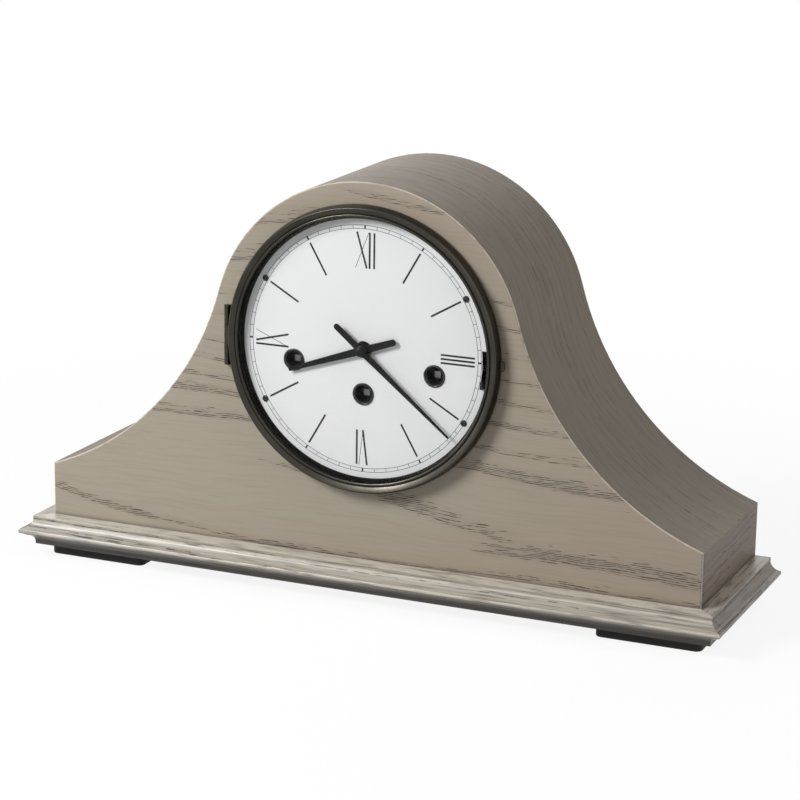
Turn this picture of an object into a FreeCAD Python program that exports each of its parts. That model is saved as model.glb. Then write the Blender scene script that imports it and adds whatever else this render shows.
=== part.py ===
import FreeCAD, Part
import math
import os

# Tambour mantel clock with a round hinged bezel and a key-wound chiming movement.
# Millimetres. +Z up, front of the clock towards -Y, origin under the middle of the feet.
# Places on the dial and in the movement are given from the dial's centre: x right, z up.

# Case
CASE_HALF_W = 203.0
CASE_DEPTH = 105.9
HUMP_R = 95.5
FLARE_R = 174.3
SHOULDER_H = 31.9
DIAL_ABOVE_BASE = 124.0
SHELL_T = 6.0
FACE_T = 3.3
FRAME_T = 9.0
END_T = 9.0
EDGE_CHAMFER = 0.8

# Base, its moulding and feet
BASE_T = 17.5
FOOT_H = 7.0
FOOT_L = 62.0
FOOT_W = 30.0
FOOT_OUTER_X = 204.5
FOOT_SET_FORWARD = 2.0
FOOT_END_R = 4.0
MOULD_OUT = 16.1
LEDGE_OUT = 9.4
LEDGE_FILLET_H = 3.0
NOSE_DEPTH = 8.9
NOSE_R = 1.4
UNDERCUT_OUT = 12.6
UNDERCUT_DEPTH = 11.6
FOOT_BAND_OUT = 8.6
FOOT_BAND_H = 1.6

# Levels that follow from those
FRONT_Y = MOULD_OUT - (CASE_DEPTH + MOULD_OUT) / 2
BACK_Y = FRONT_Y + CASE_DEPTH
BASE_TOP_Z = FOOT_H + BASE_T
DIAL_Z = BASE_TOP_Z + DIAL_ABOVE_BASE
SKIN_BACK_Y = FRONT_Y + FACE_T
FRAME_BACK_Y = SKIN_BACK_Y + FRAME_T

# Back of the case
BACK_RECESS = 6.0
REAR_FRAME_T = 8.0
REAR_FACE_Y = BACK_Y - BACK_RECESS
DOOR_OPENING_R = 82.0
DOOR_SILL = 12.0
DOOR_GAP = 1.0
DOOR_T = 5.0
DOOR_HINGE_Y = REAR_FACE_Y + 1.7
DOOR_KNUCKLE_R = 1.6
DOOR_KNUCKLE_L = 30.0
DOOR_HINGE_X = -DOOR_OPENING_R + DOOR_GAP / 2
DOOR_LEAF_W = 10.5
DOOR_LEAF_T = 0.9
DOOR_PIN_R = 0.8
KNUCKLE_GAP = 0.15
KNOB_AT = (68.0, -28.0)
KNOB_SHANK_R = 1.9
CATCH_Z = -44.0
DOOR_HINGE_Z = (-88.0, -18.0)

# Dial and bezel. "h" is a height in front of the case's front face.
DIAL_R = 74.9
DIAL_T = 0.8
OPENING_R = 64.0
FRAME_OPENING_R = 66.0
CENTRE_HOLE_R = 5.0
WINDING_X = 43.3
WINDING_Z = -10.5
TIME_WINDING_Z = -25.8
GROMMET_R = 6.5
GROMMET_BORE_R = 5.1
SCREW_CIRCLE_R = 70.9
SCREW_HEAD_R = 1.9
SLOT_R = 71.9
SLOT_TOP = 7.0
SLOT_BOTTOM = -14.7
SEAT_R = 82.4
SEAT_H = 1.0
BEZEL_R = 83.4
BEZEL_FLOOR_H = 1.2
BEZEL_TOP_H = 8.3
GLASS_R = 77.4
GLASS_SEAT_R = 77.7
LIP_R = 76.7
LIP_H = 6.5
GLASS_EDGE_H = 4.9
GLASS_RISE = 4.4
GLASS_T = 1.4
BEZEL_PIN_X = -85.3
BEZEL_PIN_H = 2.0
BEZEL_PIN_R = 0.8
BEZEL_KNUCKLE_R = 1.7
BEZEL_HINGE_HALF_L = 17.5
BEZEL_KNUCKLE_HALF_L = 5.8

# Hands
MINUTE_ANGLE = 129.5
HOUR_ANGLE = 250.8
MINUTE_L = 69.5
HOUR_L = 48.5
HAND_TAIL = 21.5
HAND_T = 0.6
HOUR_HAND_H = 2.4
MINUTE_HAND_H = 4.1
NUT_TOP_H = 8.0
NUT_R = 2.3

# Movement
PLATE_HALF_W = 65.0
PLATE_TOP = 38.0
PLATE_BOTTOM = -70.0
PLATE_T = 2.0
FRONT_PLATE_Y = -30.0
BACK_PLATE_Y = 4.0
BETWEEN_Y = FRONT_PLATE_Y + PLATE_T
BEHIND_Y = BACK_PLATE_Y + PLATE_T
RUNNING_FIT = 0.07
PIVOT_R = 1.0
ARBOR_R = 1.5
WINDING_ARBOR_R = 2.5
POST_R = 1.2
LEVER_POST_R = 1.6
STAFF_R = 0.8
WINDING_TIP_Y = FRONT_Y - DIAL_T + 5.0
SQUARE = 3.6
PILLAR_R = 3.5
PILLAR_X = 56.0
PILLAR_ZS = (28.0, -60.0)
FIXING_X = 62.0
FIXING_TOP_Z = 35.0
FIXING_BOTTOM_Z = -67.0

# Wheels and pinions: teeth, and modules that follow from the distances between arbors
TOOTH_ADDENDUM = 0.85
TOOTH_DEDENDUM = 1.05
BARREL_TEETH = 30
BARREL_PINION_TEETH = 6
BARREL_MODULE = 2 * abs(TIME_WINDING_Z) / (BARREL_TEETH + BARREL_PINION_TEETH)
BARREL_R = 20.0
WHEEL_TEETH = 30
PINION_TEETH = 6
ESCAPE_TEETH = 15
ESCAPE_R = 8.5
CANNON_TEETH = 6
MINUTE_WHEEL_TEETH = 18
MINUTE_PINION_TEETH = 6
HOUR_WHEEL_TEETH = 24
MOTION_DISTANCE = 17.6
THIRD_DISTANCE = 19.8
ESCAPE_DISTANCE = 17.6
CENTRE_MODULE = 2 * THIRD_DISTANCE / (WHEEL_TEETH + PINION_TEETH)
THIRD_MODULE = 2 * ESCAPE_DISTANCE / (WHEEL_TEETH + PINION_TEETH)
CANNON_MODULE = 2 * MOTION_DISTANCE / (CANNON_TEETH + MINUTE_WHEEL_TEETH)
HOUR_MODULE = 2 * MOTION_DISTANCE / (MINUTE_PINION_TEETH + HOUR_WHEEL_TEETH)
MOTION_ANGLE = 125.0
THIRD_ANGLE = 60.0
ESCAPE_ANGLE = 142.0
STRIKE_ANGLE = 75.0
CHIME_ANGLE = 250.0
BALANCE_AT = (-24.0, 32.0)
BALANCE_R = 11.0

# Chime: four rods, their hammers and the pinned drum
ROD_YS = (14.0, 22.0, 30.0, 38.0)
ROD_R = 1.25
ROD_Z = 40.0
ROD_LENGTHS = (262.0, 244.0, 228.0, 212.0)
BLOCK_X = 120.0
BLOCK_W = 18.0
BLOCK_H = 26.0
ROD_ROOT = 10.0
BOLT_R = 2.5
BOLT_BITE = 8.0
DRUM_R = 8.0
PIN_R = 10.5
TAIL_ANGLE = -9.5
PIN_PHASE = 15.0
TAIL_REACH = 9.4
TAIL_DX = -12.0
TAIL_SHORT = 2.2
TAIL_DZ = -3.6
HAMMER_X = 96.0
HAMMER_TOP = -86.0
HAMMER_L = 16.0
HAMMER_R = 3.5
HAMMER_TIP_R = 2.4
BRACKET_Y = 44.0
BRACKET_T = 1.5

# Silence lever on the front plate, reaching the slot at 3 o'clock
LEVER_PIVOT = (28.0, -1.4)
LEVER_TIP = (72.25, -12.4)
LEVER_ARM_Z = 3.2
LEVER_TIP_W = 1.6
LEVER_TIP_H = 4.3
LEVER_Y = -36.5
LEVER_T = 1.0


def vec(x, y, z):
    return FreeCAD.Vector(x, y, z)


def at_dial(x, z, y=0.0):
    """A point given from the dial's centre."""
    return vec(x, y, DIAL_Z + z)


def front_h(h):
    """The y of a height in front of the case's front face."""
    return FRONT_Y - h


def polar(radius, degrees):
    """Offset at an angle measured from +x towards +z."""
    a = math.radians(degrees)
    return radius * math.cos(a), radius * math.sin(a)


def rod_y(radius, y0, y1, x=0.0, z=0.0):
    """A round bar along Y from y0 to y1, placed from the dial's centre."""
    return Part.makeCylinder(radius, y1 - y0, at_dial(x, z, y0), vec(0, 1, 0))


def tube_y(outer, inner, y0, y1, x=0.0, z=0.0):
    return rod_y(outer, y0, y1, x, z).cut(rod_y(inner, y0 - 1, y1 + 1, x, z))


def box(x0, x1, y0, y1, z0, z1):
    """A block by its limits, z from the floor."""
    return Part.makeBox(x1 - x0, y1 - y0, z1 - z0, vec(x0, y0, z0))


def dial_box(x0, x1, y0, y1, z0, z1):
    """A block by its limits, z from the dial's centre."""
    return box(x0, x1, y0, y1, DIAL_Z + z0, DIAL_Z + z1)


def slab(points, y0, y1):
    """A flat plate: corner points from the dial's centre, thick along Y."""
    corners = [at_dial(x, z, y0) for x, z in points]
    wire = Part.makePolygon(corners + corners[:1])
    return Part.Face(wire).extrude(vec(0, y1 - y0, 0))


def strap(ax, az, bx, bz, width, y0, y1):
    """A flat bar with square ends, half its width past (ax, az) and (bx, bz)."""
    length = math.hypot(bx - ax, bz - az)
    ux = (bx - ax) / length * width / 2
    uz = (bz - az) / length * width / 2
    corners = [
        (ax - ux - uz, az - uz + ux), (bx + ux - uz, bz + uz + ux),
        (bx + ux + uz, bz + uz - ux), (ax - ux + uz, az - uz - ux),
    ]
    return slab(corners, y0, y1)


def turned(profile):
    """A ring or disc turned about the dial's axis from (radius, h) corners."""
    corners = [at_dial(r, 0, front_h(h)) for r, h in profile]
    face = Part.Face(Part.makePolygon(corners + corners[:1]))
    return face.revolve(at_dial(0, 0), vec(0, 1, 0), 360)


def mirrored(shape):
    """The left-hand copy of a right-hand piece."""
    return shape.mirror(vec(0, 0, 0), vec(1, 0, 0))


def joined(solid, others):
    return solid.fuse(others).removeSplitter()


def group(solids):
    """Separate solids kept in one file."""
    return Part.makeCompound(solids)


# Case outline: a round hump concentric with the dial, met by concave flares


def flare_centre():
    """Centre of the right flare: tangent to the hump and through the shoulder."""
    shoulder_x = CASE_HALF_W
    shoulder_z = BASE_TOP_Z + SHOULDER_H
    dx = shoulder_x
    dz = shoulder_z - DIAL_Z
    gap = math.hypot(dx, dz)
    reach = HUMP_R + FLARE_R
    along = (reach ** 2 - FLARE_R ** 2 + gap ** 2) / (2 * gap)
    across = math.sqrt(reach ** 2 - along ** 2)
    ux = dx / gap
    uz = dz / gap
    return ux * along - uz * across, DIAL_Z + uz * along + ux * across


def flare_z(x, inset):
    cx, cz = flare_centre()
    return cz - math.sqrt((FLARE_R + inset) ** 2 - (cx - abs(x)) ** 2)


def outline_edges(inset, end_x, y):
    """Edges of the tambour line from the right end over the hump to the left end."""
    cx, cz = flare_centre()
    hump = HUMP_R - inset
    flare = FLARE_R + inset
    lean = math.atan2(cz - DIAL_Z, cx)
    joint_x = hump * math.cos(lean)
    joint_z = DIAL_Z + hump * math.sin(lean)
    end_z = flare_z(end_x, inset)
    half_turn = (math.atan2(joint_z - cz, joint_x - cx) + math.atan2(end_z - cz, end_x - cx)) / 2
    half_turn += math.pi if half_turn > -math.pi / 2 and joint_z > cz else 0
    mid_x = cx + flare * math.cos(half_turn)
    mid_z = cz + flare * math.sin(half_turn)
    right = Part.Arc(vec(end_x, y, end_z), vec(mid_x, y, mid_z), vec(joint_x, y, joint_z)).toShape()
    top = Part.Arc(vec(joint_x, y, joint_z), vec(0, y, DIAL_Z + hump), vec(-joint_x, y, joint_z)).toShape()
    left = Part.Arc(vec(-joint_x, y, joint_z), vec(-mid_x, y, mid_z), vec(-end_x, y, end_z)).toShape()
    return [right, top, left]


def line(x0, z0, x1, z1, y):
    return Part.makeLine(vec(x0, y, z0), vec(x1, y, z1))


def case_slab(inset, end_x, y0, y1):
    """A board with the whole tambour outline, standing on the base."""
    end_z = flare_z(end_x, inset)
    edges = outline_edges(inset, end_x, y0)
    edges.append(line(-end_x, end_z, -end_x, BASE_TOP_Z, y0))
    edges.append(line(-end_x, BASE_TOP_Z, end_x, BASE_TOP_Z, y0))
    edges.append(line(end_x, BASE_TOP_Z, end_x, end_z, y0))
    return Part.Face(Part.Wire(edges)).extrude(vec(0, y1 - y0, 0))


def lever_notch(y0, y1):
    """Room beside the round opening for the silence lever."""
    return dial_box(50, 77, y0, y1, -19, 17)


def front_panel():
    """Veneered face board; its front edge has a light chamfer."""
    panel = case_slab(0, CASE_HALF_W, FRONT_Y, SKIN_BACK_Y)
    edges = []
    for edge in panel.Edges:
        box_of_edge = edge.BoundBox
        on_front = box_of_edge.YMax < FRONT_Y + 0.01
        on_base = box_of_edge.ZMax < BASE_TOP_Z + 0.01
        if on_front and not on_base:
            edges.append(edge)
    panel = panel.makeChamfer(EDGE_CHAMFER, edges)
    panel = panel.cut(rod_y(OPENING_R, FRONT_Y - 1, SKIN_BACK_Y + 1))
    return panel.cut(lever_notch(FRONT_Y - 1, SKIN_BACK_Y + 1))


def front_frame():
    """Thick board behind the face that carries the shell and the movement."""
    frame = case_slab(SHELL_T, CASE_HALF_W - END_T, SKIN_BACK_Y, FRAME_BACK_Y)
    frame = frame.cut(rod_y(FRAME_OPENING_R, SKIN_BACK_Y - 1, FRAME_BACK_Y + 1))
    return frame.cut(lever_notch(SKIN_BACK_Y - 1, FRAME_BACK_Y + 1))


def arch_shell():
    """Bent plywood top that follows the whole outline between the end boards."""
    end_x = CASE_HALF_W - END_T
    outer = outline_edges(0, end_x, SKIN_BACK_Y)
    inner = outline_edges(SHELL_T, end_x, SKIN_BACK_Y)
    z_out = flare_z(end_x, 0)
    z_in = flare_z(end_x, SHELL_T)
    ends = [line(end_x, z_out, end_x, z_in, SKIN_BACK_Y), line(-end_x, z_out, -end_x, z_in, SKIN_BACK_Y)]
    wire = Part.Wire(Part.__sortEdges__(outer + inner + ends))
    return Part.Face(wire).extrude(vec(0, BACK_Y - SKIN_BACK_Y, 0))


def end_panel():
    """Right end board, its top cut to the line of the flare."""
    whole = case_slab(0, CASE_HALF_W, SKIN_BACK_Y, BACK_Y)
    return whole.common(box(CASE_HALF_W - END_T, CASE_HALF_W, SKIN_BACK_Y, BACK_Y, 0, DIAL_Z))


def door_outline(inset, y0, y1):
    """Round-topped panel shape of the rear door and its opening."""
    r = DOOR_OPENING_R - inset
    sill = BASE_TOP_Z + DOOR_SILL + inset
    edges = [
        line(-r, DIAL_Z, -r, sill, y0),
        line(-r, sill, r, sill, y0),
        line(r, sill, r, DIAL_Z, y0),
        Part.Arc(vec(r, y0, DIAL_Z), vec(0, y0, DIAL_Z + r), vec(-r, y0, DIAL_Z)).toShape(),
    ]
    return Part.Face(Part.Wire(edges)).extrude(vec(0, y1 - y0, 0))


def rear_frame():
    """Back board with the round-topped door opening."""
    y0 = REAR_FACE_Y - REAR_FRAME_T
    frame = case_slab(SHELL_T, CASE_HALF_W - END_T, y0, REAR_FACE_Y)
    return frame.cut(door_outline(0, y0 - 1, REAR_FACE_Y + 1))


def rear_door():
    door = door_outline(DOOR_GAP, REAR_FACE_Y - DOOR_T, REAR_FACE_Y)
    return door.cut(rod_y(KNOB_SHANK_R, REAR_FACE_Y - DOOR_T - 1, REAR_FACE_Y + 1, *KNOB_AT))


def door_knob():
    """Turned pull that flares outwards, with a shank through the door."""
    x, z = KNOB_AT
    shank = rod_y(KNOB_SHANK_R, REAR_FACE_Y - DOOR_T, REAR_FACE_Y, x, z)
    head = Part.makeCone(3.0, 6.0, BACK_Y - REAR_FACE_Y, at_dial(x, z, REAR_FACE_Y), vec(0, 1, 0))
    return joined(shank, [head])


def door_knuckle(z_centre, low, high, radius=DOOR_KNUCKLE_R):
    """A stretch of hinge barrel, or of pin, from low to high about its centre."""
    return Part.makeCylinder(radius, high - low, vec(DOOR_HINGE_X, DOOR_HINGE_Y, DIAL_Z + z_centre + low))


def door_hinge_fixed():
    """Frame leaves of the two lift-off hinges, each with its lower knuckle and pin."""
    solids = []
    x = DOOR_HINGE_X
    half = DOOR_KNUCKLE_L / 2
    for z in DOOR_HINGE_Z:
        leaf = dial_box(x - DOOR_LEAF_W, x - 0.3, REAR_FACE_Y, REAR_FACE_Y + DOOR_LEAF_T, z - half, z + half)
        leaf = leaf.cut(dial_box(x - 2.4, x, REAR_FACE_Y - 1, DOOR_HINGE_Y, z - KNUCKLE_GAP, z + half + 1))
        pin = door_knuckle(z, -1, half - 1, DOOR_PIN_R)
        solids.append(joined(leaf, [door_knuckle(z, -half, 0), pin]))
    return group(solids)


def door_hinge_moving():
    """Door leaves with their upper knuckles, bored for the pins."""
    solids = []
    x = DOOR_HINGE_X
    half = DOOR_KNUCKLE_L / 2
    for z in DOOR_HINGE_Z:
        leaf = dial_box(x + 0.3, x + DOOR_LEAF_W, REAR_FACE_Y, REAR_FACE_Y + DOOR_LEAF_T, z - half, z + half)
        leaf = leaf.cut(dial_box(x, x + 2.4, REAR_FACE_Y - 1, DOOR_HINGE_Y, z - half - 1, z + KNUCKLE_GAP))
        knuckle = door_knuckle(z, KNUCKLE_GAP, half)
        bore = door_knuckle(z, -half, half + 1, DOOR_PIN_R + RUNNING_FIT)
        solids.append(joined(leaf, [knuckle]).cut(bore))
    return group(solids)


def magnet_catch():
    """Magnet holder on the frame beside the door's free edge."""
    y1 = REAR_FACE_Y - REAR_FRAME_T
    return dial_box(76, 92, y1 - 6, y1, CATCH_Z - 6, CATCH_Z + 6)


def strike_plate():
    """Cranked steel tab on the door that meets the magnet's side."""
    y1 = REAR_FACE_Y - DOOR_T
    flat = dial_box(58, 75.4, y1 - 1, y1, CATCH_Z - 5, CATCH_Z + 5)
    lip = dial_box(74.4, 75.4, y1 - 8, y1, CATCH_Z - 5, CATCH_Z + 5)
    return joined(flat, [lip])


# Base, moulding and feet


def moulding_face(to_point):
    """Section of the base moulding: ledge, fillet, cove, nose, undercut and foot band."""
    top = BASE_TOP_Z
    nose_z = top - NOSE_DEPTH
    fillet_z = top - LEDGE_FILLET_H
    cove_end = (MOULD_OUT - NOSE_R * 0.4, nose_z + NOSE_R)
    nose_end = (MOULD_OUT - NOSE_R * 0.9, nose_z - NOSE_R)
    under = (UNDERCUT_OUT, top - UNDERCUT_DEPTH)
    band_top = (FOOT_BAND_OUT, FOOT_H + FOOT_BAND_H)
    cove_mid = (LEDGE_OUT + 2.2, (fillet_z + cove_end[1]) / 2 - 0.9)
    under_mid = ((under[0] + band_top[0]) / 2 - 0.9, (under[1] + band_top[1]) / 2 + 0.7)

    def straight(a, b):
        return Part.makeLine(to_point(*a), to_point(*b))

    def curve(a, m, b):
        return Part.Arc(to_point(*a), to_point(*m), to_point(*b)).toShape()

    edges = [
        straight((0, top), (LEDGE_OUT, top)),
        straight((LEDGE_OUT, top), (LEDGE_OUT, fillet_z)),
        curve((LEDGE_OUT, fillet_z), cove_mid, cove_end),
        curve(cove_end, (MOULD_OUT, nose_z), nose_end),
        straight(nose_end, under),
        curve(under, under_mid, band_top),
        straight(band_top, (FOOT_BAND_OUT, FOOT_H)),
        straight((FOOT_BAND_OUT, FOOT_H), (0, FOOT_H)),
        straight((0, FOOT_H), (0, top)),
    ]
    return Part.Face(Part.Wire(edges))


def plan_prism(points):
    corners = [vec(x, y, 0) for x, y in points]
    return Part.Face(Part.makePolygon(corners + corners[:1])).extrude(vec(0, 0, BASE_TOP_Z + 1))


def moulding_front():
    """Front length, mitred at both corners."""
    reach = MOULD_OUT + 1
    run = CASE_HALF_W + reach
    face = moulding_face(lambda out, z: vec(-run, FRONT_Y - out, z))
    mitre = plan_prism([
        (-CASE_HALF_W, FRONT_Y), (CASE_HALF_W, FRONT_Y), (run, FRONT_Y - reach), (-run, FRONT_Y - reach),
    ])
    return face.extrude(vec(2 * run, 0, 0)).common(mitre)


def moulding_side():
    """Right-hand length, mitred at the front and square at the back."""
    reach = MOULD_OUT + 1
    face = moulding_face(lambda out, z: vec(CASE_HALF_W + out, FRONT_Y - reach, z))
    mitre = plan_prism([
        (CASE_HALF_W, FRONT_Y), (CASE_HALF_W, BACK_Y), (CASE_HALF_W + reach, BACK_Y),
        (CASE_HALF_W + reach, FRONT_Y - reach),
    ])
    return face.extrude(vec(0, CASE_DEPTH + reach, 0)).common(mitre)


def block_bolt_places():
    x = BLOCK_X + BLOCK_W / 2
    return [(x, ROD_YS[0] - 1), (x, ROD_YS[-1] + 1)]


def base_panel():
    """Base board, drilled from below for the chime block's bolts."""
    board = box(-CASE_HALF_W, CASE_HALF_W, FRONT_Y, BACK_Y, FOOT_H, BASE_TOP_Z)
    return board.cut([
        Part.makeCylinder(BOLT_R, BASE_T + 2, vec(x, y, FOOT_H - 1)) for x, y in block_bolt_places()
    ])


def foot_pads():
    """Four low pads with rounded ends under the corners of the base."""
    solids = []
    front_y = FRONT_Y - FOOT_SET_FORWARD
    back_y = BACK_Y - FOOT_SET_FORWARD - FOOT_W
    for x0 in (-FOOT_OUTER_X, FOOT_OUTER_X - FOOT_L):
        for y0 in (front_y, back_y):
            pad = box(x0, x0 + FOOT_L, y0, y0 + FOOT_W, 0, FOOT_H)
            low = [e for e in pad.Edges if e.BoundBox.ZMax < 0.01 and e.BoundBox.XLength < 0.01]
            solids.append(pad.makeFillet(FOOT_END_R, low))
    return group(solids)


# Dial and bezel


def winding_places():
    """Strike, time and chime winding arbors from the dial's centre."""
    return [(-WINDING_X, WINDING_Z), (0.0, TIME_WINDING_Z), (WINDING_X, WINDING_Z)]


def dial_screw_places():
    return [polar(SCREW_CIRCLE_R, a) for a in (30, 150, 210, 330)]


def dial_plate():
    """Sheet dial with its centre, winding and lever openings."""
    y0 = front_h(DIAL_T)
    dial = rod_y(DIAL_R, y0, FRONT_Y)
    holes = [rod_y(CENTRE_HOLE_R, y0 - 1, FRONT_Y + 1)]
    holes += [rod_y(GROMMET_BORE_R, y0 - 1, FRONT_Y + 1, x, z) for x, z in winding_places()]
    slot = dial_box(60, DIAL_R + 2, y0 - 1, FRONT_Y + 1, SLOT_BOTTOM, SLOT_TOP)
    holes.append(slot.cut(rod_y(SLOT_R, y0 - 2, FRONT_Y + 2)))
    return dial.cut(holes)


def dial_screws():
    """Heads of the four screws that hold the dial to the case."""
    y = front_h(DIAL_T)
    return group([rod_y(SCREW_HEAD_R, y - 0.7, y, x, z) for x, z in dial_screw_places()])


def winding_grommets():
    """Rings round the three winding holes."""
    y = front_h(DIAL_T)
    return group([tube_y(GROMMET_R, GROMMET_BORE_R, y - 0.6, y, x, z) for x, z in winding_places()])


def bezel_pin_y():
    return front_h(BEZEL_PIN_H)


def upright(radius, low, high):
    """A bar along Z on the bezel's hinge axis, low and high from the dial's centre."""
    return Part.makeCylinder(radius, high - low, vec(BEZEL_PIN_X, bezel_pin_y(), DIAL_Z + low))


def bezel_seat_ring():
    """Flat ring round the dial; two ears carry the fixed knuckles."""
    ring = tube_y(SEAT_R, DIAL_R + 0.2, front_h(SEAT_H), FRONT_Y)
    low = BEZEL_KNUCKLE_HALF_L + 0.3
    ears = []
    for side in (-1, 1):
        z0, z1 = sorted((side * low, side * BEZEL_HINGE_HALF_L))
        ears.append(dial_box(BEZEL_PIN_X, -79, front_h(SEAT_H), FRONT_Y, z0, z1))
        ears.append(upright(BEZEL_KNUCKLE_R, z0, z1))
    ring = joined(ring, ears)
    return ring.cut(upright(BEZEL_PIN_R + 0.05, -BEZEL_HINGE_HALF_L - 1, BEZEL_HINGE_HALF_L + 1))


def bezel_hinge_pin():
    return upright(BEZEL_PIN_R, -BEZEL_HINGE_HALF_L, BEZEL_HINGE_HALF_L)


def bezel_ring():
    """Bezel section: inner lip, sloped face, rim and outer wall."""
    return turned([
        (GLASS_SEAT_R, BEZEL_FLOOR_H), (BEZEL_R, BEZEL_FLOOR_H), (BEZEL_R, BEZEL_TOP_H - 0.4),
        (BEZEL_R - 0.9, BEZEL_TOP_H), (79.2, 6.5), (LIP_R, 7.2), (LIP_R, LIP_H), (GLASS_SEAT_R, LIP_H),
    ])


def glass_retainer():
    """Spring ring behind the glass, in the bezel's bore."""
    outer = GLASS_SEAT_R - 0.05
    return turned([(outer, BEZEL_FLOOR_H), (outer, GLASS_EDGE_H), (LIP_R - 0.4, GLASS_EDGE_H)])


def bezel_glass():
    """Convex glass held between the lip and the retainer, its dome cut in flats."""
    inner = []
    for radius in (GLASS_R, GLASS_R * 0.68, GLASS_R * 0.34):
        inner.append((radius, GLASS_EDGE_H + GLASS_RISE * (1 - (radius / GLASS_R) ** 2)))
    inner.append((0, inner[-1][1]))
    outer = [(radius, h + GLASS_T) for radius, h in reversed(inner)]
    return turned(inner + outer)


def bezel_hinge_knuckle():
    """Middle knuckle and its tongue on the bezel's outer wall."""
    half = BEZEL_KNUCKLE_HALF_L
    knuckle = upright(BEZEL_KNUCKLE_R, -half, half)
    tongue = dial_box(BEZEL_PIN_X, -82, front_h(3.7), front_h(2.9), -half, half)
    piece = joined(knuckle, [tongue]).cut(rod_y(BEZEL_R, front_h(9), front_h(0)))
    return piece.cut(upright(BEZEL_PIN_R + 0.05, -half - 1, half + 1))


def bezel_pull():
    """Small finger tab at 3 o'clock on the bezel's wall."""
    tab = dial_box(82, 87.8, front_h(2.8), front_h(1.8), -3.2, 3.2)
    corners = [e for e in tab.Edges if e.BoundBox.YLength > 0.5 and e.BoundBox.XMin > 87]
    return tab.makeFillet(1.2, corners).cut(rod_y(BEZEL_R, front_h(9), front_h(0)))


# Toothed wheels


def gear(teeth, module, y0, y1, x, z, phase, bore):
    """Wheel with straight-sided teeth; phase is the angle of one tooth's middle."""
    pitch_r = teeth * module / 2
    tip_r = pitch_r + TOOTH_ADDENDUM * module
    root_r = pitch_r - TOOTH_DEDENDUM * module
    step = 360 / teeth
    root_half = 0.30 * step if teeth > 12 else 0.22 * step
    tip_half = 0.115 * step
    points = []
    for i in range(teeth):
        middle = phase + i * step
        for radius, turn in (
            (root_r, -root_half), (tip_r, -tip_half), (tip_r, tip_half), (root_r, root_half),
        ):
            px, pz = polar(radius, middle + turn)
            points.append((x + px, z + pz))
    wheel = slab(points, y0, y1)
    return wheel.cut(rod_y(bore, y0 - 1, y1 + 1, x, z)) if bore else wheel


def mesh_phase(phase, teeth, other_teeth, direction):
    """Phase of a wheel that meshes with one at the given phase, lying in the given direction."""
    return direction + 180 + 180 / other_teeth + (direction - phase) * teeth / other_teeth


def crossed(wheel, teeth, module, y0, y1, x, z, hub_r):
    """Cut four windows out of a wheel's web, with arms between them."""
    rim_r = teeth * module / 2 - 2.6 * module
    windows = []
    for i in range(4):
        middle = 45 + 90 * i
        corners = []
        for radius, turn in ((hub_r, -20), (rim_r, -36), (rim_r, 0), (rim_r, 36), (hub_r, 20)):
            px, pz = polar(radius, middle + turn)
            corners.append((x + px, z + pz))
        windows.append(slab(corners, y0 - 1, y1 + 1))
    return wheel.cut(windows)


# Hands and motion work


def hand_slab(tip, tip_half, root_half, tail, tail_half, hub_r, y0, clock_angle):
    """Tapered hand with a rounded tail, drawn upright and turned to its clock angle."""
    y1 = y0 + HAND_T
    blade = slab([
        (-tip_half, tip), (tip_half, tip), (root_half, 0), (tail_half, -tail + tail_half),
        (-tail_half, -tail + tail_half), (-root_half, 0),
    ], y0, y1)
    hand = joined(blade, [rod_y(tail_half, y0, y1, 0, -tail + tail_half), rod_y(hub_r, y0, y1)])
    hand.rotate(at_dial(0, 0), vec(0, 1, 0), clock_angle)
    return hand


def minute_hand():
    y0 = front_h(MINUTE_HAND_H + HAND_T)
    hand = hand_slab(MINUTE_L, 0.6, 1.9, HAND_TAIL, 1.65, 3.4, y0, MINUTE_ANGLE)
    return hand.cut(rod_y(1.5, y0 - 1, y0 + 2))


def hour_hand():
    y0 = front_h(HOUR_HAND_H + HAND_T)
    hand = hand_slab(HOUR_L, 1.0, 2.2, HAND_TAIL - 0.5, 1.65, 4.2, y0, HOUR_ANGLE)
    return hand.cut(rod_y(2.8, y0 - 1, y0 + 2))


def hand_nut():
    """Round cap nut in front of the minute hand."""
    y1 = front_h(MINUTE_HAND_H + HAND_T)
    y0 = front_h(NUT_TOP_H)
    tip = Part.makeCone(1.5, NUT_R, 0.8, at_dial(0, 0, y0), vec(0, 1, 0))
    return joined(rod_y(NUT_R, y0 + 0.8, y1), [tip])


def motion_post():
    return polar(MOTION_DISTANCE, MOTION_ANGLE)


def hexagon(radius, y0, y1, x, z):
    """A nut or screw head seen along Y."""
    corners = []
    for i in range(6):
        px, pz = polar(radius, 60 * i)
        corners.append((x + px, z + pz))
    return slab(corners, y0, y1)


def cannon_pinion():
    """Tube with a pinion at its back; the minute hand sits on its nose."""
    shoulder = front_h(MINUTE_HAND_H)
    tube = rod_y(1.9, shoulder, -34.0)
    nose = rod_y(1.5, front_h(MINUTE_HAND_H + HAND_T), shoulder)
    leaves = gear(CANNON_TEETH, CANNON_MODULE, -34.8, -30.6, 0, 0, MOTION_ANGLE, 0)
    solid = joined(tube, [nose, leaves])
    return solid.cut(rod_y(PIVOT_R + RUNNING_FIT, -42, -30))


def minute_wheel():
    """Wheel driven by the cannon pinion, with the pinion that drives the hour wheel."""
    x, z = motion_post()
    phase = mesh_phase(MOTION_ANGLE, CANNON_TEETH, MINUTE_WHEEL_TEETH, MOTION_ANGLE)
    wheel = gear(MINUTE_WHEEL_TEETH, CANNON_MODULE, -33.6, -32.2, x, z, phase, 0)
    pinion = gear(MINUTE_PINION_TEETH, HOUR_MODULE, -38.8, -33.6, x, z, MOTION_ANGLE + 180, 0)
    return joined(wheel, [pinion]).cut(rod_y(POST_R + RUNNING_FIT, -40, -30, x, z))


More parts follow.
